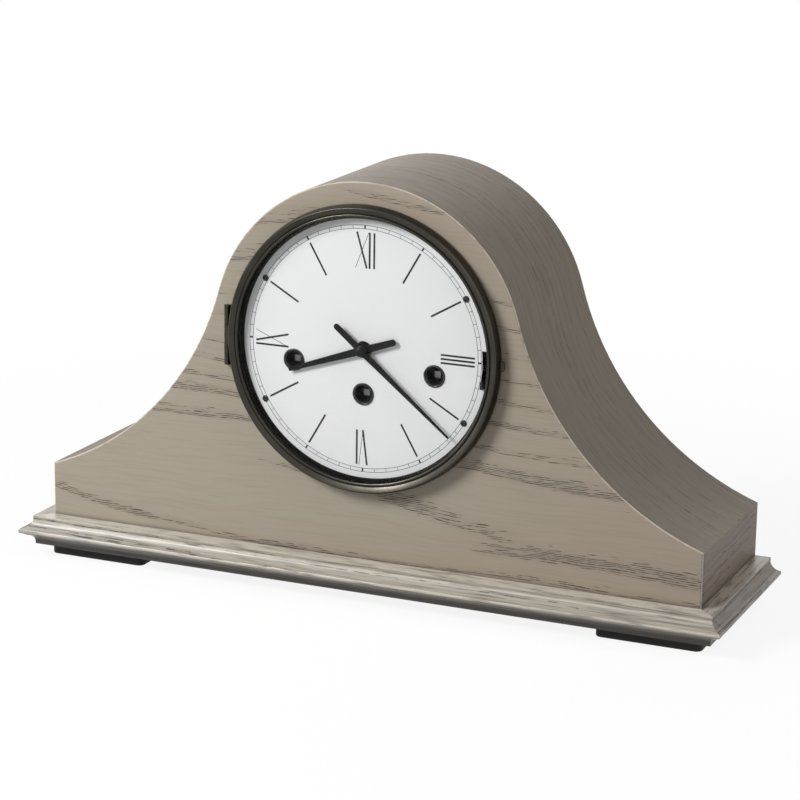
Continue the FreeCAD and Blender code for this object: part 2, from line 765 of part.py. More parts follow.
def hour_wheel():
    """Hour wheel on its pipe, which turns on the cannon pinion."""
    phase = MOTION_ANGLE + 180 / HOUR_WHEEL_TEETH
    wheel = gear(HOUR_WHEEL_TEETH, HOUR_MODULE, -37.8, -36.4, 0, 0, phase, 0)
    pipe = rod_y(2.8, front_h(HOUR_HAND_H + HAND_T + 0.2), -36.4)
    return joined(wheel, [pipe]).cut(rod_y(1.9 + RUNNING_FIT, -50, -30))


# Movement frame


def third_place():
    return polar(THIRD_DISTANCE, THIRD_ANGLE)


def escape_place():
    x, z = third_place()
    dx, dz = polar(ESCAPE_DISTANCE, ESCAPE_ANGLE)
    return x + dx, z + dz


def strike_place():
    dx, dz = polar(abs(TIME_WINDING_Z), STRIKE_ANGLE)
    return -WINDING_X + dx, WINDING_Z + dz


def drum_place():
    dx, dz = polar(abs(TIME_WINDING_Z), CHIME_ANGLE)
    return WINDING_X + dx, WINDING_Z + dz


def hammer_place():
    """Hammer arbor, set so that a lifted tail moves away from the drum."""
    x, z = drum_place()
    dx, dz = polar(TAIL_REACH, TAIL_ANGLE)
    return x + dx - TAIL_DX, z + dz - TAIL_DZ


def bracket_post_places():
    x, z = drum_place()
    hx, hz = hammer_place()
    return [(x - 14, z - 6), (hx + 1, hz - 16)]


def arbor_places():
    """Arbors that run in plain holes through both plates."""
    return [(0.0, 0.0), third_place(), escape_place(), strike_place(), drum_place()]


def train_arbor(x, z, y1):
    return rod_y(ARBOR_R, FRONT_PLATE_Y + 0.2, y1, x, z)


def pillar_places():
    return [(x, z) for x in (-PILLAR_X, PILLAR_X) for z in PILLAR_ZS]


def movement_plate(y0):
    """Brass plate with cut corners, drilled for the winding and train arbors."""
    cut = 6.0
    corners = []
    for sx, sz in ((1, 1), (-1, 1), (-1, -1), (1, -1)):
        x = sx * PLATE_HALF_W
        z = PLATE_TOP if sz > 0 else PLATE_BOTTOM
        pair = [(x, z - sz * cut), (x - sx * cut, z)]
        corners += pair if sx * sz > 0 else pair[::-1]
    plate = slab(corners, y0, y0 + PLATE_T)
    places = [(x, z, WINDING_ARBOR_R) for x, z in winding_places()]
    places += [(x, z, ARBOR_R) for x, z in arbor_places()]
    return plate.cut([rod_y(r + RUNNING_FIT, y0 - 1, y0 + PLATE_T + 1, x, z) for x, z, r in places])


def movement_front_plate():
    """Front plate with the posts of the minute wheel and the silence lever."""
    y0 = FRONT_PLATE_Y
    posts = [rod_y(POST_R, -39.4, y0 + 1, *motion_post()), rod_y(LEVER_POST_R, -37.6, y0 + 1, *LEVER_PIVOT)]
    return joined(movement_plate(y0), posts)


def movement_back_plate():
    y0 = BACK_PLATE_Y
    return movement_plate(y0).cut(rod_y(STAFF_R + RUNNING_FIT, y0 - 1, y0 + PLATE_T + 1, *BALANCE_AT))


def plate_pillars():
    """Four pillars that hold the plates apart, each with its nut behind."""
    solids = []
    for x, z in pillar_places():
        solids.append(rod_y(PILLAR_R, BETWEEN_Y, BACK_PLATE_Y, x, z))
        solids.append(hexagon(4.2, BEHIND_Y, BEHIND_Y + 2.8, x, z))
    return group(solids)


def movement_fixings():
    """Steel rails between the wooden frame and the front plate, with four screw heads."""
    solids = []
    for x in (-FIXING_X, FIXING_X):
        solids.append(dial_box(x - 3, x + 3, FRAME_BACK_Y, FRONT_PLATE_Y, FIXING_BOTTOM_Z, FIXING_TOP_Z))
        for z in (FIXING_BOTTOM_Z + 4, FIXING_TOP_Z - 4):
            solids.append(hexagon(2.8, BETWEEN_Y, BETWEEN_Y + 2, x, z))
    return group(solids)


def balance_bridge():
    """Post and cock over the balance."""
    x, z = BALANCE_AT
    post = rod_y(3.0, BEHIND_Y, 17, x - 17, z - 4)
    cock = strap(x - 17, z - 4, x, z, 7, 17, 19)
    return joined(post, [cock]).cut(rod_y(STAFF_R + RUNNING_FIT, 16, 20, x, z))


# Trains


def winding_arbor(x, z):
    """Winding arbor with a square for the key at its front end."""
    half = SQUARE / 2
    square = dial_box(x - half, x + half, WINDING_TIP_Y, -33.0, z - half, z + half)
    return joined(square, [rod_y(WINDING_ARBOR_R, -33.0, BEHIND_Y + 1.5, x, z)])


def barrel(x, z, phase):
    """Spring barrel with its great wheel at the back."""
    wheel = gear(BARREL_TEETH, BARREL_MODULE, -5.0, -3.0, x, z, phase, 0)
    drum = rod_y(BARREL_R, -20.0, -5.0, x, z)
    return joined(wheel, [drum]).cut(rod_y(WINDING_ARBOR_R + RUNNING_FIT, -30, 3, x, z))


def time_barrel():
    return barrel(0, TIME_WINDING_Z, 90)


def strike_barrel():
    return barrel(-WINDING_X, WINDING_Z, STRIKE_ANGLE)


def chime_barrel():
    return barrel(WINDING_X, WINDING_Z, CHIME_ANGLE)


def centre_phase():
    return mesh_phase(90, BARREL_TEETH, BARREL_PINION_TEETH, 90)


def centre_wheel():
    """Centre arbor with its pinion and wheel; its front end carries the cannon pinion."""
    arbor = rod_y(ARBOR_R, -29.9, BEHIND_Y - 0.2)
    nose = rod_y(PIVOT_R, -40.0, -29.0)
    pinion = gear(BARREL_PINION_TEETH, BARREL_MODULE, -6.5, -1.5, 0, 0, centre_phase(), 0)
    wheel = gear(WHEEL_TEETH, CENTRE_MODULE, -24.5, -23.0, 0, 0, THIRD_ANGLE, 0)
    wheel = crossed(wheel, WHEEL_TEETH, CENTRE_MODULE, -24.5, -23.0, 0, 0, 4.0)
    return joined(arbor, [nose, pinion, wheel])


def third_wheel():
    x, z = third_place()
    phase = THIRD_ANGLE + 180 + 180 / PINION_TEETH
    pinion = gear(PINION_TEETH, CENTRE_MODULE, -26.0, -21.5, x, z, phase, 0)
    wheel = gear(WHEEL_TEETH, THIRD_MODULE, -14.0, -12.6, x, z, ESCAPE_ANGLE, 0)
    wheel = crossed(wheel, WHEEL_TEETH, THIRD_MODULE, -14.0, -12.6, x, z, 3.6)
    return joined(train_arbor(x, z, BEHIND_Y - 0.2), [pinion, wheel])


def escape_wheel():
    """Escape arbor with its pinion; the wheel stands behind the back plate."""
    x, z = escape_place()
    phase = ESCAPE_ANGLE + 180 + 180 / PINION_TEETH
    pinion = gear(PINION_TEETH, THIRD_MODULE, -16.0, -10.6, x, z, phase, 0)
    root_r = ESCAPE_R - 2.4
    points = []
    for i in range(ESCAPE_TEETH):
        for radius, turn in ((root_r, 0.0), (ESCAPE_R, 0.16), (ESCAPE_R, 0.26), (root_r, 0.62)):
            px, pz = polar(radius, (i + turn) * 360 / ESCAPE_TEETH)
            points.append((x + px, z + pz))
    return joined(train_arbor(x, z, 9.8), [pinion, slab(points, 8.0, 9.2)])


def balance_wheel():
    """Balance rim on two arms with its staff."""
    x, z = BALANCE_AT
    reach = BALANCE_R - 1.6
    rim = tube_y(BALANCE_R, reach, 12.0, 13.6, x, z)
    arms = dial_box(x - reach - 0.5, x + reach + 0.5, 12.2, 13.4, z - 1.2, z + 1.2)
    return joined(rim, [arms, rod_y(STAFF_R, BACK_PLATE_Y + 0.5, 18.2, x, z)])


def strike_wheel():
    """Second arbor of the strike train."""
    x, z = strike_place()
    phase = mesh_phase(STRIKE_ANGLE, BARREL_TEETH, BARREL_PINION_TEETH, STRIKE_ANGLE)
    pinion = gear(BARREL_PINION_TEETH, BARREL_MODULE, -6.5, -1.5, x, z, phase, 0)
    wheel = gear(WHEEL_TEETH, CENTRE_MODULE, -24.5, -23.0, x, z, 0, 0)
    wheel = crossed(wheel, WHEEL_TEETH, CENTRE_MODULE, -24.5, -23.0, x, z, 4.0)
    return joined(train_arbor(x, z, BEHIND_Y - 0.2), [pinion, wheel])


def chime_drum():
    """Four pinned discs behind the back plate on the arbor of the chime pinion."""
    x, z = drum_place()
    phase = mesh_phase(CHIME_ANGLE, BARREL_TEETH, BARREL_PINION_TEETH, CHIME_ANGLE)
    pinion = gear(BARREL_PINION_TEETH, BARREL_MODULE, -6.5, -1.5, x, z, phase, 0)
    discs = []
    for index, y in enumerate(ROD_YS):
        disc = rod_y(DRUM_R, y - 0.7, y + 0.7, x, z)
        for quarter in (index, index + 2):
            pin = dial_box(x, x + PIN_R, y - 0.7, y + 0.7, z - 0.6, z + 0.6)
            pin.rotate(at_dial(x, z), vec(0, 1, 0), -(TAIL_ANGLE + PIN_PHASE + 90 * quarter))
            disc = disc.fuse(pin)
        discs.append(disc)
    return joined(train_arbor(x, z, BRACKET_Y + BRACKET_T), [pinion] + discs)


# Chime rods and hammers


def chime_bracket():
    """Rear bracket of the drum and the hammers on two posts."""
    posts = bracket_post_places()
    line_of_plate = [posts[0], drum_place(), hammer_place(), posts[1]]
    y1 = BRACKET_Y + BRACKET_T
    straps = [strap(*a, *b, 9, BRACKET_Y, y1) for a, b in zip(line_of_plate, line_of_plate[1:])]
    plate = joined(straps[0], straps[1:] + [rod_y(2.5, BEHIND_Y, BRACKET_Y, px, pz) for px, pz in posts])
    return plate.cut([
        rod_y(ARBOR_R + RUNNING_FIT, BRACKET_Y - 1, y1 + 1, *drum_place()),
        rod_y(ARBOR_R, BRACKET_Y - 1, y1 + 1, *hammer_place()),
    ])


def hammer_arbor():
    return rod_y(ARBOR_R, BEHIND_Y, BRACKET_Y + BRACKET_T, *hammer_place())


def hammer(index):
    """Boss, tail and arm in one, with a brass head and a soft striking tip."""
    y = ROD_YS[index]
    hx, hz = hammer_place()
    boss = rod_y(3.2, y - 2.5, y + 2.5, hx, hz)
    tail = strap(hx, hz, hx + TAIL_DX + TAIL_SHORT, hz + TAIL_DZ, 1.6, y - 0.8, y + 0.8)
    arm = strap(hx, hz, HAMMER_X, HAMMER_TOP, 2.0, y - 0.8, y + 0.8)
    linkage = joined(boss, [tail, arm]).cut(rod_y(ARBOR_R + RUNNING_FIT, y - 4, y + 4, hx, hz))
    head_top = DIAL_Z + HAMMER_TOP + 1.5
    head = Part.makeCylinder(HAMMER_R, HAMMER_L, vec(HAMMER_X, y, head_top - HAMMER_L))
    tip = Part.makeCylinder(HAMMER_TIP_R, 2.0, vec(HAMMER_X, y, head_top - HAMMER_L - 2.0))
    return group([linkage, head.cut(linkage), tip])


def chime_block():
    """Iron block on the base that holds the rods."""
    y0 = ROD_YS[0] - 7
    y1 = ROD_YS[-1] + 7
    block = box(BLOCK_X, BLOCK_X + BLOCK_W, y0, y1, BASE_TOP_Z, BASE_TOP_Z + BLOCK_H)
    edges = [e for e in block.Edges if e.BoundBox.ZMin > BASE_TOP_Z + BLOCK_H - 0.01]
    block = block.makeChamfer(1.5, edges)
    holes = []
    for y in ROD_YS:
        holes.append(Part.makeCylinder(ROD_R, ROD_ROOT + 1, vec(BLOCK_X - 1, y, ROD_Z), vec(1, 0, 0)))
    for x, y in block_bolt_places():
        holes.append(Part.makeCylinder(BOLT_R, BOLT_BITE + 1, vec(x, y, BASE_TOP_Z - 1)))
    return block.cut(holes)


def chime_rods():
    """Rods of four lengths, let into the block."""
    solids = []
    for y, length in zip(ROD_YS, ROD_LENGTHS):
        root = vec(BLOCK_X + ROD_ROOT, y, ROD_Z)
        solids.append(Part.makeCylinder(ROD_R, length + ROD_ROOT, root, vec(-1, 0, 0)))
    return group(solids)


def block_bolts():
    """Hexagon bolts up through the base into the chime block."""
    solids = []
    for x, y in block_bolt_places():
        corners = []
        for i in range(6):
            px, py = polar(4.6, 60 * i)
            corners.append(vec(x + px, y + py, FOOT_H - 3.0))
        head = Part.Face(Part.makePolygon(corners + corners[:1])).extrude(vec(0, 0, 3.0))
        shank = Part.makeCylinder(BOLT_R, BASE_T + BOLT_BITE, vec(x, y, FOOT_H))
        solids.append(joined(head, [shank]))
    return group(solids)


def silence_lever():
    """Cranked lever with a finger that comes forward through the dial's slot."""
    px, pz = LEVER_PIVOT
    tx, tz = LEVER_TIP
    y0 = LEVER_Y
    y1 = LEVER_Y + LEVER_T
    half_w = LEVER_TIP_W / 2
    half_h = LEVER_TIP_H / 2
    parts = [
        strap(px + 8, LEVER_ARM_Z, 61.0, LEVER_ARM_Z, 4.0, y0, y1),
        strap(61.0, LEVER_ARM_Z, tx - 0.6, tz + 1.4, 3.0, y0, y1),
        rod_y(3.6, y0, y0 + 3.2, px, pz),
        dial_box(tx - half_w, tx + half_w, front_h(3.0), y1, tz - half_h, tz + half_h),
    ]
    lever = joined(strap(px, pz, px + 8, LEVER_ARM_Z, 4.0, y0, y1), parts)
    return lever.cut(rod_y(LEVER_POST_R + RUNNING_FIT, y0 - 1, y0 + 5, px, pz))


def all_nodes():
    """Every node of the clock by name."""
    right_side = moulding_side()
    right_end = end_panel()
    strike, time, chime = winding_places()
    nodes = {
        "base_panel": base_panel(),
        "moulding_front": moulding_front(),
        "moulding_right": right_side,
        "moulding_left": mirrored(right_side),
        "foot_pads": foot_pads(),
        "front_panel": front_panel(),
        "front_frame": front_frame(),
        "arch_shell": arch_shell(),
        "end_panel_right": right_end,
        "end_panel_left": mirrored(right_end),
        "rear_frame": rear_frame(),
        "rear_door": rear_door(),
        "door_knob": door_knob(),
        "door_hinge_fixed": door_hinge_fixed(),
        "door_hinge_moving": door_hinge_moving(),
        "magnet_catch": magnet_catch(),
        "strike_plate": strike_plate(),
        "dial_plate": dial_plate(),
        "dial_screws": dial_screws(),
        "winding_grommets": winding_grommets(),
        "bezel_seat_ring": bezel_seat_ring(),
        "bezel_hinge_pin": bezel_hinge_pin(),
        "bezel_ring": bezel_ring(),
        "bezel_glass": bezel_glass(),
        "glass_retainer": glass_retainer(),
        "bezel_hinge_knuckle": bezel_hinge_knuckle(),
        "bezel_pull": bezel_pull(),
        "minute_hand": minute_hand(),
        "hand_nut": hand_nut(),
        "cannon_pinion": cannon_pinion(),
        "hour_hand": hour_hand(),
        "hour_wheel": hour_wheel(),
        "minute_wheel": minute_wheel(),
        "silence_lever": silence_lever(),
        "movement_front_plate": movement_front_plate(),
        "movement_back_plate": movement_back_plate(),
        "plate_pillars": plate_pillars(),
        "movement_fixings": movement_fixings(),
        "balance_bridge": balance_bridge(),
        "winding_arbor_strike": winding_arbor(*strike),
        "winding_arbor_time": winding_arbor(*time),
        "winding_arbor_chime": winding_arbor(*chime),
        "time_barrel": time_barrel(),
        "strike_barrel": strike_barrel(),
        "chime_barrel": chime_barrel(),
        "centre_wheel": centre_wheel(),
        "third_wheel": third_wheel(),
        "escape_wheel": escape_wheel(),
        "balance_wheel": balance_wheel(),
        "strike_wheel": strike_wheel(),
        "chime_drum": chime_drum(),
        "chime_bracket": chime_bracket(),
        "hammer_arbor": hammer_arbor(),
        "chime_block": chime_block(),
        "chime_rods": chime_rods(),
        "block_bolts": block_bolts(),
    }
    for index in range(len(ROD_YS)):
        nodes["hammer_%d" % (index + 1)] = hammer(index)
    return nodes


def main():
    os.makedirs("parts", exist_ok=True)
    for name, shape in all_nodes().items():
        shape.exportStep("parts/%s.step" % name)
        print("%-22s solids %d volume %.1f" % (name, len(shape.Solids), shape.Volume))


main()
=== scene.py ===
"""Looks of a tambour mantel clock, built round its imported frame.

Sizes are in millimetres, except where a docstring says metres. Noise is counted in cells to the metre.
"""

import logging
import math
from dataclasses import dataclass, replace
from enum import Enum
from typing import Callable, Dict, List, Optional, Sequence, Tuple, Union

import bmesh
import bpy
from mathutils import Matrix, Vector

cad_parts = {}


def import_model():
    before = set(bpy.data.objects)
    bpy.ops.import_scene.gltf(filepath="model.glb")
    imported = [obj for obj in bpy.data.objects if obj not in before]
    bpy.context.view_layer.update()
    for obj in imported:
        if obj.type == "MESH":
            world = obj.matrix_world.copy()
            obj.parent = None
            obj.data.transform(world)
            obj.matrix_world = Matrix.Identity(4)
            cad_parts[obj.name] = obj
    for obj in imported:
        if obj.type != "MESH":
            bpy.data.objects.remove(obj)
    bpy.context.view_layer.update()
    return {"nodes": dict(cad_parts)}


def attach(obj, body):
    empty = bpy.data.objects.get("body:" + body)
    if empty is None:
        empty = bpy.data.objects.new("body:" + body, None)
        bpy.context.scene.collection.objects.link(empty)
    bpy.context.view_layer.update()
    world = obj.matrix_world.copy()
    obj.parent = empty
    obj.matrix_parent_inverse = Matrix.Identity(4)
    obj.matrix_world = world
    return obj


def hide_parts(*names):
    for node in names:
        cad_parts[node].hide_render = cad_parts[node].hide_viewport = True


MM = 0.001
LOG = logging.getLogger("mantel_clock")

Colour = Tuple[float, float, float]
Point = Tuple[float, float]
Place = Tuple[float, float, float]
Number = Union[int, float]
Piece = bpy.types.Object

FRONT_Y = -44.9
DIAL_Z = 148.5
BASE_TOP_Z = 24.5
DIAL_CENTRE: Place = (0.0, 0.0, DIAL_Z)
HUMP_TOP_Z = 244.0
WELD = 0.002
TOUCH = 0.1
POLE_RADIUS = 1e-6


class Wire:
    """An output of a shader node, with arithmetic that adds Math nodes."""

    def __init__(self, bench: "Bench", socket: bpy.types.NodeSocket) -> None:
        """Keeps the socket and the bench it belongs to.

        Args:
            bench: the node tree that new nodes go into.
            socket: the output that this wire stands for.
        """
        self.bench = bench
        self.socket = socket

    def joined(self, operation: str, other: "Value", swapped: bool = False) -> "Wire":
        """Adds one Math node on this wire and another value.

        Args:
            operation: the Math node's operation.
            other: a number or a wire.
            swapped: True where the other value comes first.

        Returns:
            The Math node's output.
        """
        first, second = (other, self) if swapped else (self, other)
        return self.bench.add("ShaderNodeMath", {"operation": operation}, {0: first, 1: second})

    def single(self, operation: str) -> "Wire":
        """The Math node of one value, such as FRACT or SQRT."""
        return self.bench.add("ShaderNodeMath", {"operation": operation}, {0: self})

    def __add__(self, other: "Value") -> "Wire":
        """This wire plus another value."""
        return self.joined("ADD", other)

    def __radd__(self, other: "Value") -> "Wire":
        """Another value plus this wire."""
        return self.joined("ADD", other, True)

    def __sub__(self, other: "Value") -> "Wire":
        """This wire less another value."""
        return self.joined("SUBTRACT", other)

    def __rsub__(self, other: "Value") -> "Wire":
        """Another value less this wire."""
        return self.joined("SUBTRACT", other, True)

    def __mul__(self, other: "Value") -> "Wire":
        """This wire times another value."""
        return self.joined("MULTIPLY", other)

    def __rmul__(self, other: "Value") -> "Wire":
        """Another value times this wire."""
        return self.joined("MULTIPLY", other, True)

    def __truediv__(self, other: "Value") -> "Wire":
        """This wire over another value."""
        return self.joined("DIVIDE", other)

    def __rtruediv__(self, other: "Value") -> "Wire":
        """Another value over this wire."""
        return self.joined("DIVIDE", other, True)


Value = Union[Number, Wire]


class Bench:
    """The node tree of one material or of the world, with one way to add a node."""

    def __init__(self, tree: bpy.types.NodeTree) -> None:
        """Empties the tree.

        Args:
            tree: the tree to build in.
        """
        self.tree = tree
        tree.nodes.clear()

    def add(self, kind: str, settings: Optional[dict] = None, inputs: Optional[dict] = None,
            out: Union[int, str] = 0) -> Wire:
        """Adds a node, sets it up and links what feeds it.

        Args:
            kind: the node's type.
            settings: the node's own properties, which are set first.
            inputs: numbers, colours or wires for its inputs, by name or number.
            out: the output to hand back.

        Returns:
            The wire of that output.
        """
        node = self.tree.nodes.new(kind)
        for key, value in (settings or {}).items():
            setattr(node, key, value)
        for key, value in (inputs or {}).items():
            if isinstance(value, Wire):
                self.tree.links.new(value.socket, node.inputs[key])
            else:
                node.inputs[key].default_value = value
        found = node.outputs[out] if len(node.outputs) else None
        return Wire(self, found)

    def place(self) -> Tuple[Wire, Wire, Wire]:
        """Object coordinates in metres.

        Returns:
            The wires of x, y and z.
        """
        where = self.add("ShaderNodeTexCoord", {}, {}, "Object")
        split = self.add("ShaderNodeSeparateXYZ", {}, {0: where}, "X")
        node = split.socket.node
        return split, Wire(self, node.outputs["Y"]), Wire(self, node.outputs["Z"])

    def vector(self, x: Value, y: Value, z: Value) -> Wire:
        """One vector out of three values."""
        return self.add("ShaderNodeCombineXYZ", {}, {0: x, 1: y, 2: z})

    def noise(self, x: Value, y: Value, z: Value, detail: float = 2.0, rough: float = 0.5) -> Wire:
        """Noise of three values, already stretched to cells of one.

        Args:
            x: first value.
            y: second value.
            z: third value.
            detail: number of finer layers.
            rough: weight of the finer layers.

        Returns:
            The noise, mostly between 0.25 and 0.75.
        """
        settings = {"noise_dimensions": "3D"}
        inputs = {"Vector": self.vector(x, y, z), "Scale": 1.0, "Detail": detail, "Roughness": rough}
        return self.add("ShaderNodeTexNoise", settings, inputs, "Fac")

    def cells(self, place: Sequence[Wire], counts: Union[float, Place], detail: float = 1.0,
              rough: float = 0.5) -> Wire:
        """Noise with so many cells to the metre along three values.

        Args:
            place: the three values, in metres.
            counts: one count for all three, or a count for each.
            detail: number of finer layers.
            rough: weight of the finer layers.

        Returns:
            The noise.
        """
        each = (counts,) * 3 if isinstance(counts, float) else counts
        x, y, z = (value * count for value, count in zip(place, each))
        return self.noise(x, y, z, detail, rough)

    def step(self, value: Value, low: Value, high: Value, to_low: float = 0.0, to_high: float = 1.0) -> Wire:
        """A soft step from one level to another.

        Args:
            value: what is measured.
            low: where the step starts.
            high: where the step ends.
            to_low: the level below the step.
            to_high: the level above it.

        Returns:
            The stepped value.
        """
        inputs = {"Value": value, "From Min": low, "From Max": high, "To Min": to_low, "To Max": to_high}
        return self.add("ShaderNodeMapRange", {"interpolation_type": "SMOOTHSTEP"}, inputs)

    def between(self, value: Value, low: float, high: float, soft: float) -> Wire:
        """A mask that is 1 from low to high, with soft ends."""
        return self.step(value, low - soft, low) * self.step(value, high, high + soft, 1.0, 0.0)

    def mix(self, amount: Value, first: Union[Colour, Wire], second: Union[Colour, Wire]) -> Wire:
        """A mix of two colours.

        Args:
            amount: 0 for the first colour, 1 for the second.
            first: a colour or a wire.
            second: a colour or a wire.

        Returns:
            The mixed colour.
        """
        colours = [value if isinstance(value, Wire) else (*value, 1.0) for value in (first, second)]
        inputs = {0: amount, 6: colours[0], 7: colours[1]}
        return self.add("ShaderNodeMix", {"data_type": "RGBA"}, inputs, 2)

    def bump(self, height: Wire, depth: float, strength: float = 0.5) -> Wire:
        """A Bump node for a height between 0 and 1 that is so many millimetres deep."""
        inputs = {"Height": height, "Distance": depth * MM, "Strength": strength}
        return self.add("ShaderNodeBump", {}, inputs, "Normal")

    def principled(self, inputs: dict) -> Wire:
        """The Principled shader with these inputs."""
        return self.add("ShaderNodeBsdfPrincipled", {}, inputs, "BSDF")

    def surface(self, shader: Wire) -> None:
        """Ends the tree in an output node."""
        self.add("ShaderNodeOutputMaterial", {}, {"Surface": shader})


@dataclass(frozen=True)
class Finish:
    """A finish by its name; each kind of finish fills in the tree."""

    name: str

    def build(self, bench: Bench) -> Wire:
        """The shader of this finish, which each kind gives."""
        raise NotImplementedError(self.name)

    def material(self) -> bpy.types.Material:
        """The material of this finish, made on first use.

        Returns:
            The material.
        """
        label = "look_" + self.name
        found = bpy.data.materials.get(label)
        if found is None:
            found = bpy.data.materials.new(label)
            found.use_nodes = True
            bench = Bench(found.node_tree)
            bench.surface(self.build(bench))
        return found


class Grain(Enum):
    """Which way the grain of a board or veneer runs."""

    ACROSS_FRONT = "along x, seen on the face"
    OVER_TOP = "along the curve of the top"
    FRONT_TO_BACK = "along y"


@dataclass(frozen=True)
class Strand:
    """One line of open pores in a board, where a growth ring meets its face."""

    left: float
    right: float
    start: float
    end: float
    width: float = 4.0
    strength: float = 1.0
    fade: float = 30.0
    fade_inside: float = 8.0

    def level(self, along: Wire) -> Wire:
        """The strand's height along the board."""
        slope = (self.end - self.start) / (self.right - self.left)
        return along * slope + (BASE_TOP_Z + self.start - slope * self.left) * MM

    def reach(self, bench: Bench, along: Wire) -> Wire:
        """A mask that fades out past the strand's two ends."""
        left, right = (self.left + self.fade_inside) * MM, (self.right - self.fade_inside) * MM
        return bench.between(along, left, right, self.fade * MM)


@dataclass(frozen=True)
class Oak(Finish):
    """Stained and limed oak: growth rings, open dark pores, lines along given edges (pale ones partly rubbed
    finish and partly painted highlight, dark ones at joints) and painted shade below a given height.
    """

    pale: Colour = (0.355, 0.317, 0.253)
    warm: Colour = (0.35, 0.294, 0.232)
    streak: Colour = (0.25, 0.21, 0.165)
    pore: Colour = (0.05, 0.044, 0.04)
    # Colour of the edge lines: pale where it is partly rubbed finish and partly painted highlight, dark where
    # it marks a joint.
    edge_line: Colour = (0.62, 0.57, 0.48)
    grain: Grain = Grain.ACROSS_FRONT
    strands: Tuple[Strand, ...] = ()
    ring_gap: float = 9.0
    heart: float = 64.0
    heart_depth: float = 16.0
    heart_slope: float = 0.13
    pore_cover: float = 0.36
    pore_rest: float = 0.735
    pore_length: float = 15.0
    pore_pitch: float = 1.0
    ring_line: float = 0.7
    pore_dark: float = 0.95
    streakiness: float = 0.2
    sway: float = 14.0
    ripple: float = 1.3
    # Painted shade: below this height the colour darkens towards the pore colour, standing in for the shade
    # in a corner or under the moulding's nose.
    painted_shade_below: float = -1.0
    painted_shade_soft: Point = (4.0, 1.5)
    painted_shade_amount: float = 0.85
    roughness: float = 0.5
    coat: float = 0.02
    edge_line_y: Tuple[float, ...] = ()
    edge_line_z: Tuple[float, ...] = ()
    edge_line_width: float = 0.5
    edge_line_amount: float = 0.55
    band_rise: Point = (-0.4, 0.0)
    band_fall: Point = (0.3, 1.3)
    band_line: Point = (0.02, 0.10)
    band_dull: float = 0.22
    ring_rise: Point = (0.0, 0.05)
    ring_fall: Point = (0.08, 0.62)
    ring_strong: Point = (0.40, 0.62)
    ring_cells: Place = (2.6, 60.0, 3.0)
    pore_taper: float = 0.12
    pore_core: float = 0.06
    pore_half: float = 0.32
    pore_hair: float = 0.02
    pore_rough: float = 0.2
    pore_relief: float = 0.8
    row_steps: Point = (3.7, 1.9)
    depth_cells: float = 90.0
    break_cells: float = 150.0
    break_offset: float = 5.0
    break_levels: Point = (0.34, 0.56)
    break_rest: float = 0.2
    fibre_levels: Point = (0.42, 0.72)
    fibre_rough: float = 0.15
    fibre_relief: float = 0.25
    warm_slope: float = 1.6
    warm_levels: Point = (0.3, 0.75)
    patch_levels: Point = (0.3, 0.55)
    drift: float = 2.2
    coat_roughness: float = 0.22
    gloss: float = 0.22
    relief_depth: float = 0.12
    relief_strength: float = 0.6
    sway_cells: Place = (7.0, 14.0, 12.0)
    ripple_cells: Place = (45.0, 90.0, 60.0)
    drift_cells: Place = (26.0, 240.0, 90.0)
    cloud_cells: Place = (5.0, 16.0, 16.0)
    fibre_cells: Place = (34.0, 950.0, 900.0)
    patch_cells: Place = (60.0, 300.0, 300.0)

    def axes(self, bench: Bench) -> Tuple[Wire, Wire, Wire]:
        """Values along the grain, across it and into the board, in metres.

        Args:
            bench: the tree to build in.

        Returns:
            The three wires.
        """
        x, y, z = bench.place()
        if self.grain is Grain.OVER_TOP:
            side = x.single("SIGN")
            return x + side * (HUMP_TOP_Z * MM - z), y, x * 0.02
        if self.grain is Grain.FRONT_TO_BACK:
            return y, z + x * 0.9, x
        return x, z, y

    def strand_band(self, bench: Bench, along: Wire, across: Wire) -> Wire:
        """The lines of pores that are placed one by one.

        Args:
            bench: the tree to build in.
            along: value along the grain.
            across: value across the grain.

        Returns:
            A mask from 0 to 1.
        """
        found: Value = 0.0
        for strand in self.strands:
            offset = (across - strand.level(along)) / (strand.width * MM)
            shape = bench.step(offset, *self.band_rise) * bench.step(offset, *self.band_fall, 1.0, 0.0)
            edge = bench.step(offset.single("ABSOLUTE"), *self.band_line, self.ring_line, 0.0)
            found = (shape + edge) * strand.reach(bench, along) * strand.strength + found
        return found

    def ring_band(self, bench: Bench, along: Wire, across: Wire) -> Wire:
        """The porous early wood of even growth rings.

        Args:
            bench: the tree to build in.
            along: value along the grain.
            across: value across the grain.

        Returns:
            A mask from 0 to 1.
        """
        moved = across - self.heart * MM
        pith = along * self.heart_slope + self.heart_depth * MM
        radius = (moved * moved + pith * pith).single("SQRT")
        ring = (radius / (self.ring_gap * MM)).single("FRACT")
        start = bench.step(ring, *self.ring_rise) * bench.step(ring, *self.ring_fall, 1.0, 0.0)
        by_length, by_radius, offset = self.ring_cells
        strong = bench.noise(along * by_length, radius * by_radius, offset, 1.0)
        return start * bench.step(strong, *self.ring_strong)

    def pores(self, bench: Bench, along: Wire, across: Wire, depth: Wire, band: Wire) -> Wire:
        """Thin dark dashes with tapered ends, close together inside the bands.

        Args:
            bench: the tree to build in.
            along: value along the grain.
            across: value across the grain.
            depth: value into the board.
            band: where the pores are close together.

        Returns:
            A mask from 0 to 1.
        """
        drift = bench.cells((along, across, depth), self.drift_cells) - 0.5
        rows = (across + drift * (self.drift * MM)) / (self.pore_pitch * MM)
        row = rows.single("FLOOR")
        first, second = self.row_steps
        layer = depth * self.depth_cells
        dash = bench.noise(along / (self.pore_length * MM), row * first, layer)
        level = self.pore_rest - band * self.pore_cover
        body = bench.step(dash, level, level + self.pore_taper)
        core, half = body * self.pore_core, body * self.pore_half + self.pore_hair
        line = bench.step((rows - row - 0.5).single("ABSOLUTE"), core, half, 1.0, 0.0)
        broken = bench.noise(along * self.break_cells, row * second, layer + self.break_offset, 2.0, 0.6)
        return body * line * bench.step(broken, *self.break_levels, self.break_rest, 1.0)

